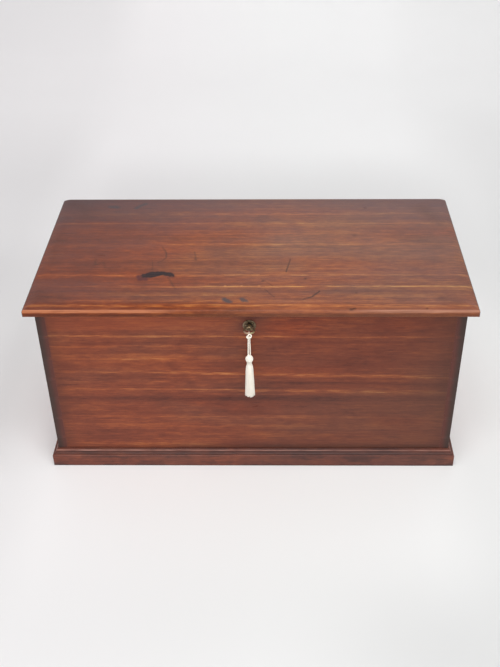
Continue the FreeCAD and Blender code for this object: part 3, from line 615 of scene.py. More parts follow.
def front_marks(finish, wood, colour, broad, dash):
    """Dirt round the escutcheon and at the dovetails, darker above the plinth, painted shade under
    the lid, and a painted reflection low down.
    """
    x, _, z = finish.place
    outside = finish.faces(Y, -1)
    red = z.rise(220, 350) * x.rise(-60, 120) * 0.95
    colour = finish.mix(red, colour, finish.scaled(colour, (0.98, 0.76, 0.69)))
    orange = z.rise(360, 394) * x.rise(20, -120) * 0.34
    colour = finish.mix(orange, colour, (0.430, 0.100, 0.038))
    # Painted reflection of the floor, growing towards the foot, over a pale film
    colour = finish.mix(0.015 + z.rise(330, 160) * 0.04,
                        finish.scaled(colour, (0.91, 0.84, 0.85)), wood.bloom_and_reflection)

    halo = finish.mark(finish.flat(x * 0.5, z), ((-4, 388, 12), (2, 412, 14)), 16) * 0.66
    # Painted shade under the lid's overhang
    eaves = z.rise(*EAVES) * (0.10 + x.rise(-180, 0) * 0.34)
    foot = z.rise(*FOOT) * (0.28 + x.rise(-300, 0) * 0.30)
    sides = abs(x).rise(395, 436) * 0.22 + x.rise(-310, -430) * 0.16
    right = x.rise(-120, 460) * (0.37 + z.rise(330, 150) * 0.20)
    right = right + x.rise(290, 440) * z.rise(120, 230) * 0.26
    right = right + z.rise(150, 80) * x.rise(-190, -40) * x.rise(250, 90) * 0.16
    joint = abs(x).hump(430, 1.2) * z.hump(362, 12)
    return finish.layered(
        colour,
        (right * outside, (0.092, 0.036, 0.025)),
        # Painted shade under the lid, darker at the foot and near the ends, and patchy dirt
        ((eaves.most(foot).most(sides) + broad * 0.35) * outside, wood.grime_and_shade),
        (halo * outside, (0.058, 0.024, 0.026)),
        (abs(x).rise(422, 440) * outside, worn_corner(finish, x, broad)),
        (joint * outside * 0.45, wood.grime_and_shade))


def worn_corner(finish, x, broad):
    """The colour of the case's front corners, where the polish has darkened."""
    return finish.mix((abs(x) + broad * 14).rise(431, 447), (0.128, 0.040, 0.031),
                      (0.060, 0.036, 0.031))


def end_marks(finish, wood, colour, broad, dash):
    """The dark end grain of the ends' pins in the front; on the ends, dirt, a darker foot and
    painted shade under the lid.
    """
    x, y, z = finish.place
    seen = abs(finish.facing[Y]).rise(*SQUARE)
    colour = finish.mix(seen * 0.86, colour, worn_corner(finish, x, broad))
    corners = abs(y).rise(196, 216) * 0.4
    # Dirt near the corners, darker at the foot, and painted shade under the lid
    grime_and_shade = corners.most(z.rise(*FOOT) * 0.5).most(z.rise(*EAVES) * 0.4) + broad * 0.3
    return finish.mix(grime_and_shade * (1 - seen), colour, wood.grime_and_shade)


def plinth_marks(finish, wood, colour, broad, dash):
    """Painted shade in the plinth's hollow and at its foot, and painted highlights on its bead and
    ledge over wear.
    """
    x, _, z = finish.place
    out = finish.facing[Z]
    hollow = z.rise(31.0, 33.0) * z.rise(38.6, 37.0)
    patchy = finish.noise((70, 20, 26), 31, detail=4.0, rough=0.65).rise(0.47, 0.62)
    # Painted highlights on the upward-facing bead and ledge, broken up by wear
    bead = out.rise(0.20, 0.50) * out.rise(0.97, 0.75) * z.rise(37.6, 38.6)
    ledge = out.rise(0.25, 0.55) * out.rise(1.02, 0.85) * z.rise(32.6, 31.9) * 0.45
    wear_and_highlight = bead.most(ledge) * (0.55 + dash * 2.2 + broad * 1.4) * (1 - x.rise(-150, 80) * 0.40)
    return finish.layered(
        colour,
        # Painted shade over the moulding above the ledge, deeper in the hollow
        (z.rise(31.0, 33.0) * 0.30 + hollow * 0.25, wood.grime_and_shade),
        (x.rise(-60, 60) * x.rise(430, 320) * 0.30, (0.046, 0.028, 0.024)),
        # Painted shade along the foot, with patchy dirt
        (z.rise(7, 0) * 0.5 + (broad + dash * 0.5) * 1.6 + patchy * 0.55, wood.grime_and_shade),
        (0.15, wood.bloom_and_reflection),
        # Painted highlights along the bead and ledge
        (wear_and_highlight, (0.420, 0.215, 0.170)))


def inner_face(axis, towards):
    """A test for the face of a board that looks into the chest."""
    return lambda finish: finish.faces(axis, towards)


# ---------------------------------------------------------------- metal and thread

def aged_metal(name, main, bright, dark, polish=0.38, wear_and_highlight=0.5, marks=None):
    """Old brass or steel: tarnish in patches, bright where it is rubbed, fine scratches."""
    finish = Finish(name)
    cloud = finish.noise((7, 7, 7), 1, detail=4.0, rough=0.65)
    speck = finish.noise((1.1, 1.1, 1.1), 2, detail=3.0, rough=0.7)
    scratch = finish.noise((9, 0.5, 0.6), 3) * 0.5 + finish.noise((0.6, 0.5, 8), 4) * 0.5
    film = (cloud * 0.7 + speck * 0.3).rise(wear_and_highlight - 0.12, wear_and_highlight + 0.16)
    rubbed = scratch.rise(0.52, 0.66) * 0.5 * (1 - film)
    colour = finish.layered(main, (film, dark), (rubbed, bright))
    if marks:
        colour = marks(finish, colour, cloud)
    return finish.done(Base_Color=colour, Metallic=1.0 - film * 0.35,
                       Roughness=polish + film * 0.25 + (speck - 0.5) * 0.2,
                       Normal=finish.bump(scratch * 0.4 + speck * 0.6, 0.05))


def escutcheon_marks(finish, colour, cloud):
    """Dirt round the keyhole and across the plate, a rubbed rim with a painted highlight, and a
    painted shadow of the key.
    """
    x, _, z = finish.place
    flat = finish.flat(x - KEY_X / MM, z - PLATE_Z / MM)
    radius = finish.length(flat)
    blot = finish.noise((4.2, 4.2, 4.2), 5, detail=3.0, rough=0.6)
    rim = radius.rise(8.5, 13.2) * (cloud - 0.5).rise(-0.12, 0.10)
    # Brighter on the rim's left: a painted highlight over the rubbed patches
    left = x.rise(-2, -9) * 0.6 + 0.4
    # Painted shadow of the key across the plate
    bow_shadow = finish.mark(flat, ((-3.5, 11.0, 1.0), (5.5, -1.5, 1.8)), 1.4)
    return finish.layered(
        colour,
        (blot.rise(0.46, 0.57) * 0.75, (0.055, 0.036, 0.024)),
        # Rubbed rim with a painted highlight on its left
        (rim * left * 0.75, (0.420, 0.320, 0.215)),
        (radius.rise(9.0, 5.0) * 0.80, (0.026, 0.019, 0.013)),
        # Painted shadow of the key
        (bow_shadow * 0.92, (0.012, 0.007, 0.006)))


def bow_marks(finish, colour, cloud):
    """The front of the key's bow, rubbed by fingers."""
    x, y, _ = finish.place
    tan = finish.mix(x.rise(-4, 2), (0.620, 0.420, 0.300), (0.460, 0.390, 0.220))
    return finish.mix(y.rise(-242, -246) * (0.45 + cloud * 0.6), colour, tan)


def thread_finish(context, name, shade=(1.0, 1.0, 1.0)):
    """Ivory thread with a soft sheen: fibres along each thread and a little dirt. It is made
    the first time that its name is asked for, and that name isn't one of the frame's."""
    if name in bpy.data.materials:
        return bpy.data.materials[name]
    finish = Finish(name)
    fibre = finish.noise((0.30, 0.30, 4.0), 1, detail=3.0, rough=0.6)
    cloud = finish.noise((6, 6, 14), 2)
    light = times(context.scene.chest_tassel.thread, *shade)
    tone = (fibre * 0.7 + cloud * 0.3).rise(0.36, 0.60)
    return finish.done(Base_Color=finish.mix(tone, times(light, 0.96, 0.935, 0.89), light),
                       Roughness=0.62 + (fibre - 0.5) * 0.3, Sheen_Weight=0.25,
                       Sheen_Roughness=0.4, Normal=finish.bump(fibre, 0.06))


def paper_finish(context):
    """Matt white paper with a faint tooth; painted shade to the sides, near and far back, and
    behind the chest.
    """
    paper = context.scene.chest_stage.paper
    finish = Finish("paper_sweep")
    x, y, _ = finish.place
    cloud = finish.noise((700, 700, 700), 1)
    tooth = finish.noise((2, 2, 2), 2)
    left = x.rise(-520, -670) * (0.21 - y.rise(100, 900) * 0.20)
    right = x.rise(520, 700) * (0.10 - y.rise(300, 1500) * 0.09)
    near = y.rise(-430, -760) * (x.rise(0, 450) * 0.13 + 0.06)
    edges = x.rise(370, 540) * 0.09 + x.rise(-430, -580) * 0.08
    edges = edges * y.rise(-120, -260) * y.rise(-760, -430)
    # Painted shadow on the floor behind the chest
    behind = y.rise(300, 700) * y.rise(1550, 1080) * abs(x).rise(760, 480) * 0.13
    behind = behind + y.rise(-100, 900) * 0.015
    back_left = 0.13 - y.rise(1150, 2000) * 0.11 + y.rise(2150, 3000) * 0.05
    back_right = 0.10 - y.rise(1450, 2100) * 0.08 + y.rise(2400, 3000) * 0.03
    back = x.rise(-560, -800) * back_left + x.rise(480, 900) * back_right
    # Painted light on the floor just beside the chest's ends
    beside = abs(x).hump(480, 100) * y.rise(-240, -90) * y.rise(300, 200)
    dim = (left + right) * y.rise(-330, -120) + near + edges + behind + back * y.rise(250, 700)
    warm = x.rise(200, -650) * 0.65 + y.rise(0, 1500) * 0.35
    colour = finish.layered(
        tuple(paper),
        (cloud.rise(0.3, 0.7), times(paper, 0.985)),
        (beside, (0.985, 0.985, 0.985)),
        (dim, (0.02, 0.02, 0.02)))
    colour = finish.mix(warm, colour, finish.scaled(colour, (1.0, 0.972, 0.985)))
    return finish.done(Base_Color=colour, Roughness=0.85, Specular_IOR_Level=0.2,
                       Normal=finish.bump(tooth, 0.03))


# ---------------------------------------------------------------- shapes

def smoothed(points, closed=False):
    """Points along the smooth line that a cord takes past these points."""
    curve = bpy.data.curves.new("route", "CURVE")
    curve.dimensions = "3D"
    curve.resolution_u = 12
    spline = curve.splines.new("NURBS")
    spline.points.add(len(points) - 1)
    for point, spot in zip(spline.points, points):
        point.co = (*spot, 1)
    spline.order_u = 3
    spline.use_cyclic_u = closed
    spline.use_endpoint_u = not closed
    route = bpy.data.objects.new("route", curve)
    mesh = bpy.data.meshes.new_from_object(route)
    line = np.array([v.co for v in mesh.vertices])
    bpy.data.objects.remove(route)
    bpy.data.curves.remove(curve)
    bpy.data.meshes.remove(mesh)
    if closed:
        line = np.vstack([line, line[:1]])
    return line


def evenly(line, count):
    """The line again, as that many points at even steps."""
    steps = np.linalg.norm(np.diff(line, axis=0), axis=1)
    run = np.concatenate([[0], np.cumsum(steps)])
    wanted = np.linspace(0, run[-1], count)
    return np.stack([np.interp(wanted, run, line[:, axis]) for axis in (X, Y, Z)], axis=1)


def frames(line):
    """Two directions square to the line at each of its points, without needless twist."""
    ahead = np.gradient(line, axis=0)
    ahead /= np.linalg.norm(ahead, axis=1)[:, None]
    start = np.array([1.0, 0, 0]) if abs(ahead[0][0]) < 0.8 else np.array([0, 1.0, 0])
    side = np.cross(ahead[0], start)
    side /= np.linalg.norm(side)
    sides = [side]
    for step in ahead[1:]:
        side = sides[-1] - step * (sides[-1] @ step)
        sides.append(side / np.linalg.norm(side))
    sides = np.array(sides)
    return sides, np.cross(ahead, sides)


def ring_faces(rings, sides, first=0):
    """The faces of a closed skin over rings of points, with a face on each end."""
    faces = []
    for start in range(first, first + (rings - 1) * sides, sides):
        for j in range(sides):
            k = (j + 1) % sides
            faces.append((start + j, start + k, start + sides + k, start + sides + j))
    last = first + (rings - 1) * sides
    faces.append(tuple(reversed(range(first, first + sides))))
    faces.append(tuple(range(last, last + sides)))
    return faces


def tubes(name, lines, radii, sides=8):
    """One object of round threads along the lines. Radii has a number, or one for each point."""
    spots, faces = [], []
    around = np.linspace(0, math.tau, sides, endpoint=False)
    for line, radius in zip(lines, radii):
        first, second = frames(line)
        radius = np.broadcast_to(radius, len(line))
        cos, sin = np.cos(around)[None, :, None], np.sin(around)[None, :, None]
        ring = (line[:, None] + radius[:, None, None]
                * (cos * first[:, None] + sin * second[:, None]))
        faces += ring_faces(len(line), sides, sum(len(s) for s in spots))
        spots.append(ring.reshape(-1, 3))
    return solid(name, np.vstack(spots), faces)


def solid(name, spots, faces):
    """A smooth-shaded object from points and faces."""
    mesh = bpy.data.meshes.new(name)
    mesh.from_pydata([tuple(p) for p in spots], [], faces)
    mesh.validate()
    mesh.polygons.foreach_set("use_smooth", [True] * len(mesh.polygons))
    made = bpy.data.objects.new(name, mesh)
    bpy.context.scene.collection.objects.link(made)
    return made


# Points on each turn of a laid-up thread, and its thickness beside the one that just touches
TURN_POINTS = 14
THREAD_SWELL = 1.22


def laid_up(line, thickness, plies, lay):
    """The lines of the threads that are laid up round a line into a cord, and a thread's radius."""
    length = np.linalg.norm(np.diff(line, axis=0), axis=1).sum()
    line = evenly(line, max(12, int(length / lay * TURN_POINTS)))
    first, second = frames(line)
    thread = thickness / 2 / (1 + 1 / math.sin(math.pi / plies))
    out = thickness / 2 - thread
    turn = np.linspace(0, math.tau * length / lay, len(line))
    lines = []
    for ply in range(plies):
        angle = (turn + math.tau * ply / plies)[:, None]
        lines.append(line + out * (np.cos(angle) * first + np.sin(angle) * second))
    return lines, thread * THREAD_SWELL


def laid_cord(name, line, thickness, plies, lay, sides=8):
    """A cord of laid-up threads as one object."""
    lines, radius = laid_up(line, thickness, plies, lay)
    return tubes(name, lines, [radius] * len(lines), sides)


def ring_about_tassel(out, angle, height):
    """Points about the tassel's axis."""
    return np.stack([KEY_X + out * np.cos(angle), KNOT_Y + out * np.sin(angle),
                     np.broadcast_to(height, np.shape(angle))], axis=1)


def turned(name, profile, count, ridge):
    """A solid of revolution about the tassel's axis. Profile has (radius, height) points, and
    ridge gives the share of the radius by the angle."""
    around = np.linspace(0, math.tau, count, endpoint=False)
    spots = [ring_about_tassel(radius * ridge(around), around, height)
             for radius, height in profile]
    return solid(name, np.vstack(spots), ring_faces(len(profile), count))


def finish_piece(piece, finish, body, *stood_for, slot="ivory_thread"):
    """Gives a piece its finish and its body, and hides the nodes that it stands for. Its slot is
    not used.
    """
    piece.data.materials.append(finish)
    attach(piece, body)
    if stood_for:
        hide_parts(*stood_for)


# ---------------------------------------------------------------- operators: camera and tassel

class ChestOperator(bpy.types.Operator):
    """A step in dressing the chest."""
    bl_options = {"REGISTER", "UNDO"}


SENSOR_WIDTH = 36
CAMERA_SHIFT = -0.0193
CLIP_NEAR, CLIP_FAR = 0.05, 50


class CHEST_OT_camera(ChestOperator):
    """Stand the camera in front of the chest, looking down on it"""
    bl_idname = "chest.camera"
    bl_label = "Camera"

    def execute(self, context):
        stage = context.scene.chest_stage
        data = bpy.data.cameras.new("camera")
        data.lens = stage.lens
        data.sensor_width = SENSOR_WIDTH
        data.shift_x = CAMERA_SHIFT
        data.clip_start, data.clip_end = CLIP_NEAR, CLIP_FAR
        camera = bpy.data.objects.new("camera", data)
        camera.location = stage.camera_place
        camera.rotation_euler = stage.camera_turn
        context.scene.collection.objects.link(camera)
        context.scene.camera = camera
        return {"FINISHED"}


# Below the knot's middle, where the strands leave it, and how far each strand is from the
# tassel's axis at its top, at its middle and at its end
STRAND_TOP = 0.0058
STRAND_SPREAD = (0.0015, 0.00185, 0.0021)


def strand_points(side):
    """The run of one strand, from the knot down to the tassel's head."""
    top = KEY_Z - STRAND_TOP
    return [(KEY_X + side * out, KNOT_Y, top - CORD_LENGTH * share)
            for out, share in zip(STRAND_SPREAD, (0, 0.5, 1))]


class CHEST_OT_cords(ChestOperator):
    """Lay up the two strands of cord that hold the tassel"""
    bl_idname = "chest.cords"
    bl_label = "Cords"

    def execute(self, context):
        tassel = context.scene.chest_tassel
        thread = thread_finish(context, "tassel_thread")
        for name, side in (("cord_left", -1), ("cord_right", 1)):
            line = smoothed(strand_points(side))
            strand = laid_cord(f"{name}_strand", line, tassel.cord_thickness, tassel.plies,
                               tassel.lay)
            finish_piece(strand, thread, "tassel", name)
        return {"FINISHED"}


# The hitch's turn on one side of the bow: degrees round the bow's wire and millimetres to the
# side. Then where it starts and ends, the bridge between both turns, and its radius, in metres,
# and its cord's thickness beside that of the strands
HITCH_TURN = ((100, 0.8), (55, 0.8), (10, 0.85), (-35, 0.9), (-80, 1.1), (-125, 1.2))
HITCH_START = ((0.0006, -0.0072, 0.0003), (0.0007, -0.0042, 0.0026))
HITCH_END = (0.0012, -0.0046, 0.0004)
HITCH_BRIDGE = ((0.0008, -0.0060, 0.0032), (0, -0.0063, 0.0037), (-0.0008, -0.0060, 0.0032))
HITCH_RADIUS = 0.0032
HITCH_CORD = 0.62


class CHEST_OT_hitch(ChestOperator):
    """Hitch the cord round the front of the key's bow"""
    bl_idname = "chest.hitch"
    bl_label = "Hitch"

    def execute(self, context):
        tassel = context.scene.chest_tassel
        # A darker, pinker copy of the thread: painted shade on the hitch
        hitch_shade = thread_finish(context, "handled_thread", (0.66, 0.534, 0.492))
        turn = list(HITCH_START)
        for degrees, out in HITCH_TURN:
            angle = math.radians(degrees)
            turn.append((out * MM, HITCH_RADIUS * math.cos(angle), HITCH_RADIUS * math.sin(angle)))
        turn.append(HITCH_END)
        other = [(-x, y, z) for x, y, z in reversed(turn)]
        spots = [(KEY_X + x, BOW_FRONT + y, KEY_Z + z)
                 for x, y, z in (*turn, *HITCH_BRIDGE, *other)]
        hitch = laid_cord("hitch_turns", smoothed(spots), tassel.cord_thickness * HITCH_CORD,
                          tassel.plies, tassel.lay)
        finish_piece(hitch, hitch_shade, "key", "tassel_hitch")
        return {"FINISHED"}


# The knot's cord seen from in front and above: to the right, up and out, in millimetres
KNOT_PATH = (
    (-2.1, -0.9, 0.6), (-2.1, 2.6, 0.8), (1.2, 4.7, 0.9), (4.5, 3.3, 0.8), (5.0, 0.2, 0.6),
    (3.5, -2.7, 0.4), (0.6, -3.3, 0.9), (-2.4, -3.0, 1.8), (-4.4, -1.8, 0.8), (-4.0, 0.0, -1.0),
    (-2.4, 0.9, -2.6), (0.6, -0.2, -3.2), (2.6, -1.6, -2.8), (1.2, -3.2, -2.4), (-0.8, -2.9, -1.4),
)
KNOT_TILT = math.radians(32)


class CHEST_OT_knot(ChestOperator):
    """Tie the knot that the tassel hangs from"""
    bl_idname = "chest.knot"
    bl_label = "Knot"

    def execute(self, context):
        tassel = context.scene.chest_tassel
        thread = thread_finish(context, "tassel_thread")
        sin, cos = math.sin(KNOT_TILT), math.cos(KNOT_TILT)
        spots = [(KEY_X + right * MM, KNOT_Y + (up * sin - out * cos) * MM,
                  KEY_Z + (up * cos + out * sin) * MM) for right, up, out in KNOT_PATH]
        knot = laid_cord("tied_knot", smoothed(spots, closed=True), tassel.cord_thickness,
                         tassel.plies, tassel.lay)
        finish_piece(knot, thread, "knot", "tassel_knot")
        return {"FINISHED"}


# The head: its rings of points, the half circle's share that it starts at and spans, how full it
# is, and how deep the grooves between its threads are. The neck: the lay of its thread in metres
HEAD_RINGS = 29
HEAD_START, HEAD_SPAN = 0.06, 0.74
HEAD_FULLNESS = 0.82
GROOVE = 0.055
NECK_LAY = 0.0035


class CHEST_OT_tassel_head(ChestOperator):
    """Fold the threads over into the tassel's head and bind its neck"""
    bl_idname = "chest.tassel_head"
    bl_label = "Tassel head"

    def execute(self, context):
        tassel = context.scene.chest_tassel
        thread = thread_finish(context, "tassel_thread")
        low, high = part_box("tassel_head")
        profile = []
        for share in np.linspace(0, 1, HEAD_RINGS):
            angle = math.pi * (HEAD_START + share * HEAD_SPAN)
            profile.append(((high.x - low.x) / 2 * math.sin(angle) ** HEAD_FULLNESS,
                            high.z - (high.z - low.z) * share))
        ridges = tassel.head_ridges
        rng = random.Random(4)
        offsets = np.array([rng.uniform(0.4, 1.0) for _ in range(ridges)])

        def ridge(around):
            turns = around / math.tau * ridges
            own = offsets[np.floor(turns).astype(int) % ridges]
            return 1 - GROOVE * own * (1 - np.abs(np.sin(turns * math.pi)) ** 0.7)

        head = turned("tassel_head_threads", profile, ridges * 8, ridge)
        finish_piece(head, thread, "tassel", "tassel_head")

        low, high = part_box("tassel_neck")
        turns = tassel.neck_turns
        radius = (high.z - low.z) / turns / 2
        share = np.linspace(0, 1, turns * 32)
        line = ring_about_tassel((high.x - low.x) / 2 - radius, share * turns * math.tau,
                                 high.z - radius - share * (high.z - low.z - 2 * radius))
        neck = laid_cord("tassel_neck_binding", line, radius * 2.1, 2, NECK_LAY, 6)
        finish_piece(neck, thread, "tassel", "tassel_neck")
        return {"FINISHED"}


# The fringe: how far down it is measured and its radius there, both in millimetres, its radius
# at its end in metres, the number of locks that it falls in, a thread's radius in millimetres,
# and the share of the fringe's radius that its core fills
FRINGE_DROPS = (0, 2, 5, 9, 16, 26, 38, 50, 62, 72, 80, 85)
FRINGE_RADII = (4.3, 5.4, 6.4, 7.2, 8.0, 8.4, 8.9, 9.4, 9.85, 10.25, 10.6, 10.8)
FRINGE_END = 0.0108
LOCKS = 17
THREAD_RADIUS = 0.36
CORE_SHARE = 0.84


class CHEST_OT_fringe(ChestOperator):
    """Hang the fringe of loose threads below the neck"""
    bl_idname = "chest.fringe"
    bl_label = "Fringe"

    def execute(self, context):
        tassel = context.scene.chest_tassel
        thread = thread_finish(context, "tassel_thread")
        low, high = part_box("tassel_skirt")
        rng = random.Random(11)
        locks = [rng.uniform(-3.0, 0.4) for _ in range(LOCKS)]
        drops = np.array(FRINGE_DROPS) * MM
        spread = np.array(FRINGE_RADII) * MM
        spread *= (high.x - low.x) / 2 / FRINGE_END
        down = drops / drops[-1]
        lines, radii = [], []
        outside = tassel.fringe_threads
        for count, inset in ((outside, 0.45), (int(outside * 0.8), 1.2)):
            for i in range(count):
                angle = math.tau * (i + rng.uniform(-0.32, 0.32)) / count
                deep = inset + rng.uniform(-0.12, 0.22)
                lock = locks[int(angle / math.tau * LOCKS) % LOCKS]
                cut = (lock * 0.8 + rng.uniform(-0.9, 0.2)) * MM
                sway = rng.uniform(-0.035, 0.035)
                wave = rng.uniform(0.004, 0.020)
                phase = rng.uniform(0, 6.28)
                turn = angle + sway * down + wave * np.sin(down * 9 + phase) * down
                out = spread - deep * MM * (0.6 + 0.4 * down)
                lines.append(ring_about_tassel(out, turn, high.z - drops * (1 + cut / drops[-1])))
                radii.append(np.full(len(drops), THREAD_RADIUS * MM)
                             * (1 + 0.12 * np.sin(down * 30 + phase)))
        finish_piece(tubes("fringe_threads", lines, radii, 5), thread, "tassel")

        core = [(radius * CORE_SHARE, high.z - drop) for drop, radius in zip(drops[:-2], spread)]
        core = turned("fringe_core", core, 72, lambda around: 1 + 0.03 * np.sin(around * 36))
        shaded = thread_finish(context, "shaded_thread", (0.95, 0.93, 0.90))
        finish_piece(core, shaded, "tassel", "tassel_skirt")
        return {"FINISHED"}


# ---------------------------------------------------------------- operators: wood

class CHEST_OT_lid(ChestOperator):
    """Polish the lid and leave its stains"""
    bl_idname = "chest.lid"
    bl_label = "Lid"

    def execute(self, context):
        dress(mahogany(context, "lid_mahogany", X, Y, LID_STREAKS, seed=1, lift=0.015, gloss=0.17,
                       marks=lid_marks, bare=under_lid), "lid_board")
        return {"FINISHED"}


class CHEST_OT_case(ChestOperator):
    """Polish the front, back and ends of the case"""
    bl_idname = "chest.case"
    bl_label = "Case"

    def execute(self, context):
        dress(mahogany(context, "front_mahogany", X, Z, FRONT_STREAKS, seed=2, run=1.4,
                       figure=0.85, marks=front_marks, bare=inner_face(Y, 1)), "front_board")
        dress(mahogany(context, "back_mahogany", X, Z, seed=3, lift=-0.05,
                       bare=inner_face(Y, -1)), "back_board")
        for side, seed, inwards in (("left", 4, 1), ("right", 5, -1)):
            dress(mahogany(context, f"{side}_end_mahogany", Y, Z, seed=seed, marks=end_marks,
                           bare=inner_face(X, inwards)), f"{side}_end_board")
        return {"FINISHED"}


class CHEST_OT_plinth(ChestOperator):
    """Polish the plinth"""
    bl_idname = "chest.plinth"
    bl_label = "Plinth"

    def execute(self, context):
        for place, along, seed, runs in (("front", X, 6, ["plinth_front"]),
                                         ("side", Y, 7, ["plinth_left", "plinth_right"])):
            dress(mahogany(context, f"{place}_plinth_mahogany", along, Z, seed=seed, lift=-0.10,
                           marks=plinth_marks), *runs)
        return {"FINISHED"}


class CHEST_OT_bottom(ChestOperator):
    """Plane the pine boards of the bottom"""
    bl_idname = "chest.bottom"
    bl_label = "Bottom boards"

    def execute(self, context):
        pine = context.scene.chest_wood.pine
        finish = Finish("planed_pine")
        rings = finish.noise((700, 7, 9), 1, detail=3.0, rough=0.6)
        cloud = finish.noise((160, 60, 60), 2)
        fibre = finish.noise((30, 0.9, 1.2), 3, rough=0.7)
        knot = finish.noise((38, 24, 60), 4, detail=1.0).rise(0.70, 0.76)
        colour = finish.layered(
            tuple(pine),
            ((rings + (fibre - 0.5) * 0.3).rise(0.36, 0.62), times(pine, 0.72, 0.62, 0.52)),
            (cloud.rise(0.45, 0.75) * 0.4, times(pine, 0.6)),
            (knot * 0.8, (0.16, 0.07, 0.03)))
        dress(finish.done(Base_Color=colour, Roughness=0.72 + (fibre - 0.5) * 0.2,
                          Normal=finish.bump(rings * 0.5 + fibre * 0.5, 0.14, 0.6)),
              "bottom_board_front", "bottom_board_middle", "bottom_board_back")
        return {"FINISHED"}


# ---------------------------------------------------------------- operators: metal

def dress_brass(context, name, parts, polish=0.38, wear_and_highlight=0.5):
    """Gives those nodes aged brass."""
    brass = context.scene.chest_brass
    dress(aged_metal(name, brass.aged_brass, brass.rubbed_brass, brass.tarnish, polish, wear_and_highlight),
          *parts)


class CHEST_OT_hinges(ChestOperator):
    """Age the brass hinges and their pins"""
    bl_idname = "chest.hinges"
    bl_label = "Hinges"

    def execute(self, context):
        dress_brass(context, "hinge_brass", [f"{side}_hinge_{part}" for side in ("left", "right")
                                             for part in ("case_leaf", "lid_leaf", "pin")])
        return {"FINISHED"}


class CHEST_OT_lock(ChestOperator):
    """Age the lock, its link plate and its bolt"""
    bl_idname = "chest.lock"
    bl_label = "Lock"

    def execute(self, context):
        steel = context.scene.chest_brass.steel
        dress_brass(context, "lock_brass", ("lock_plate", "lock_cap", "lock_ward", "link_plate"),
                    0.34, 0.55)
        dress(aged_metal("bolt_steel", steel, times(steel, 1.6), times(steel, 0.25), 0.36, 0.56),
              "lock_bolt")
        return {"FINISHED"}


class CHEST_OT_fixings(ChestOperator):
    """Age the screws, nails and pins"""
    bl_idname = "chest.fixings"
    bl_label = "Screws, nails and pins"

    def execute(self, context):
        steel = context.scene.chest_brass.steel
        dress(aged_metal("screw_steel", steel, times(steel, 1.5), (0.050, 0.028, 0.018), 0.44),
              "lock_screws", "link_plate_screws", "case_hinge_screws", "lid_hinge_screws",
              "bottom_nails")
        dress_brass(context, "pin_brass", ["escutcheon_pins"], 0.34, 0.6)
        return {"FINISHED"}


class CHEST_OT_key(ChestOperator):
    """Age the key and the escutcheon"""
    bl_idname = "chest.key"
    bl_label = "Key and escutcheon"

    def execute(self, context):
        brass = context.scene.chest_brass
        dress(aged_metal("key_brass", brass.dull_brass, brass.rubbed_brass, brass.tarnish, 0.42,
                         0.52, bow_marks), "key")
        dress(aged_metal("escutcheon_brass", brass.dull_brass, brass.aged_brass, brass.tarnish,
                         0.40, 0.50, escutcheon_marks), "escutcheon")
        return {"FINISHED"}


# ---------------------------------------------------------------- operators: stage

# The paper sweep in metres: its half width, its front edge, where it starts to rise, the radius
# of its bend, its top, and how far it lies below the chest's foot
SWEEP_HALF, SWEEP_FRONT, SWEEP_BACK, SWEEP_BEND, SWEEP_TOP = 8.0, -9.0, 2.2, 1.4, 5.0
SWEEP_GAP = 0.0005
BEND_STEPS = 16

# Each light's place, what it is aimed at, its width and its height in metres
LIGHTS = {
    "overhead_light": ((0.1, -1.6, 6.0), (0, -0.4, 0), 4.5, 3.0),
    "front_light": ((1.0, -6.0, 3.3), (0, 0, 0.2), 4.5, 2.6),
    "right_light": ((2.1, -2.0, 2.1), (0, -0.1, 0.1), 1.6, 1.6),
    "left_light": ((-2.2, -2.0, 2.0), (0, -0.1, 0.1), 1.6, 1.6),
    "back_light": ((0.35, 2.7, 2.2), (0.1, 2.2, 0.0), 2.4, 1.2),
}
ROOM_COLOUR = (0.985, 0.99, 1.0, 1)
# The height of a ray's direction at which the room gives way to the dimmer daylight overhead
ROOM_TOP, ROOM_FADE = 0.72, 0.12


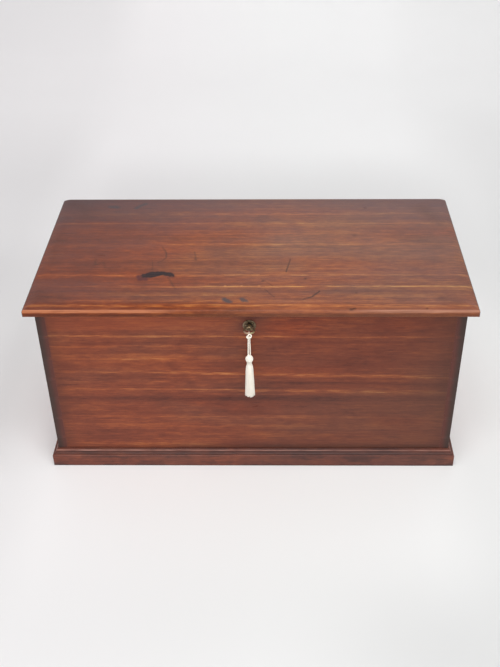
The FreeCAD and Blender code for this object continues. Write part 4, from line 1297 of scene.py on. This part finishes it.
class CHEST_OT_stage(ChestOperator):
    """Put up the paper sweep and the soft lights"""
    bl_idname = "chest.stage"
    bl_label = "Stage"

    def execute(self, context):
        stage = context.scene.chest_stage
        profile = [(SWEEP_FRONT, 0.0), (SWEEP_BACK, 0.0)]
        for step in range(1, BEND_STEPS + 1):
            angle = math.pi / 2 * step / BEND_STEPS
            profile.append((SWEEP_BACK + SWEEP_BEND * math.sin(angle),
                            SWEEP_BEND - SWEEP_BEND * math.cos(angle)))
        profile.append((SWEEP_BACK + SWEEP_BEND, SWEEP_TOP))
        spots = [(x, y, z) for y, z in profile for x in (-SWEEP_HALF, SWEEP_HALF)]
        faces = [(2 * i, 2 * i + 1, 2 * i + 3, 2 * i + 2) for i in range(len(profile) - 1)]
        sweep = solid("paper_sweep", spots, faces)
        sweep.location.z = -SWEEP_GAP
        sweep.data.materials.append(paper_finish(context))

        for name, (spot, aim, wide, tall) in LIGHTS.items():
            data = bpy.data.lights.new(name, "AREA")
            data.shape, data.size, data.size_y = "RECTANGLE", wide, tall
            data.energy = getattr(stage, name)
            light = bpy.data.objects.new(name, data)
            light.location = spot
            light.rotation_mode = "QUATERNION"
            light.rotation_quaternion = (Vector(spot) - Vector(aim)).to_track_quat("Z", "Y")
            context.scene.collection.objects.link(light)

        world = bpy.data.worlds.new("daylight")
        world.use_nodes = True
        sky = Finish.of_world(world)
        height = sky.parts(sky.vector("ShaderNodeTexCoord", {}, {}, "Generated"))[Z]
        strength = stage.daylight + height.rise(ROOM_TOP, ROOM_FADE) * (
            stage.room_light - stage.daylight)
        background = sky.node("ShaderNodeBackground", {},
                              {"Color": ROOM_COLOUR, "Strength": strength})
        sky.node("ShaderNodeOutputWorld", {}, {0: background.outputs[0]})
        context.scene.world = world
        context.scene.view_settings.view_transform = "Standard"
        return {"FINISHED"}


# ---------------------------------------------------------------- panel and main

STEPS = (CHEST_OT_camera, CHEST_OT_tassel_head, CHEST_OT_cords, CHEST_OT_hitch, CHEST_OT_knot,
         CHEST_OT_fringe, CHEST_OT_lid, CHEST_OT_case, CHEST_OT_plinth, CHEST_OT_bottom,
         CHEST_OT_hinges, CHEST_OT_lock, CHEST_OT_fixings, CHEST_OT_key, CHEST_OT_stage)
SETTINGS = {"chest_wood": WoodSettings, "chest_brass": BrassSettings,
            "chest_tassel": TasselSettings, "chest_stage": StageSettings}


class CHEST_PT_panel(bpy.types.Panel):
    """Lists the chest's steps and its sizes and colours"""
    bl_idname = "CHEST_PT_panel"
    bl_label = "Blanket chest"
    bl_space_type = "VIEW_3D"
    bl_region_type = "UI"
    bl_category = "Chest"

    def draw(self, context):
        for name, settings in SETTINGS.items():
            box = self.layout.box()
            for field in settings.__annotations__:
                box.prop(getattr(context.scene, name), field)
        for step in STEPS:
            self.layout.operator(step.bl_idname)


def register():
    for kind in (*SETTINGS.values(), *STEPS, CHEST_PT_panel):
        bpy.utils.register_class(kind)
    for name, kind in SETTINGS.items():
        setattr(bpy.types.Scene, name, PointerProperty(type=kind))


def unregister():
    for name in SETTINGS:
        delattr(bpy.types.Scene, name)
    for kind in reversed((*SETTINGS.values(), *STEPS, CHEST_PT_panel)):
        bpy.utils.unregister_class(kind)


def main():
    register()
    for step in STEPS:
        group, name = step.bl_idname.split(".")
        getattr(getattr(bpy.ops, group), name)()
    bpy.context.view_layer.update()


if __name__ == "__main__":
    main()
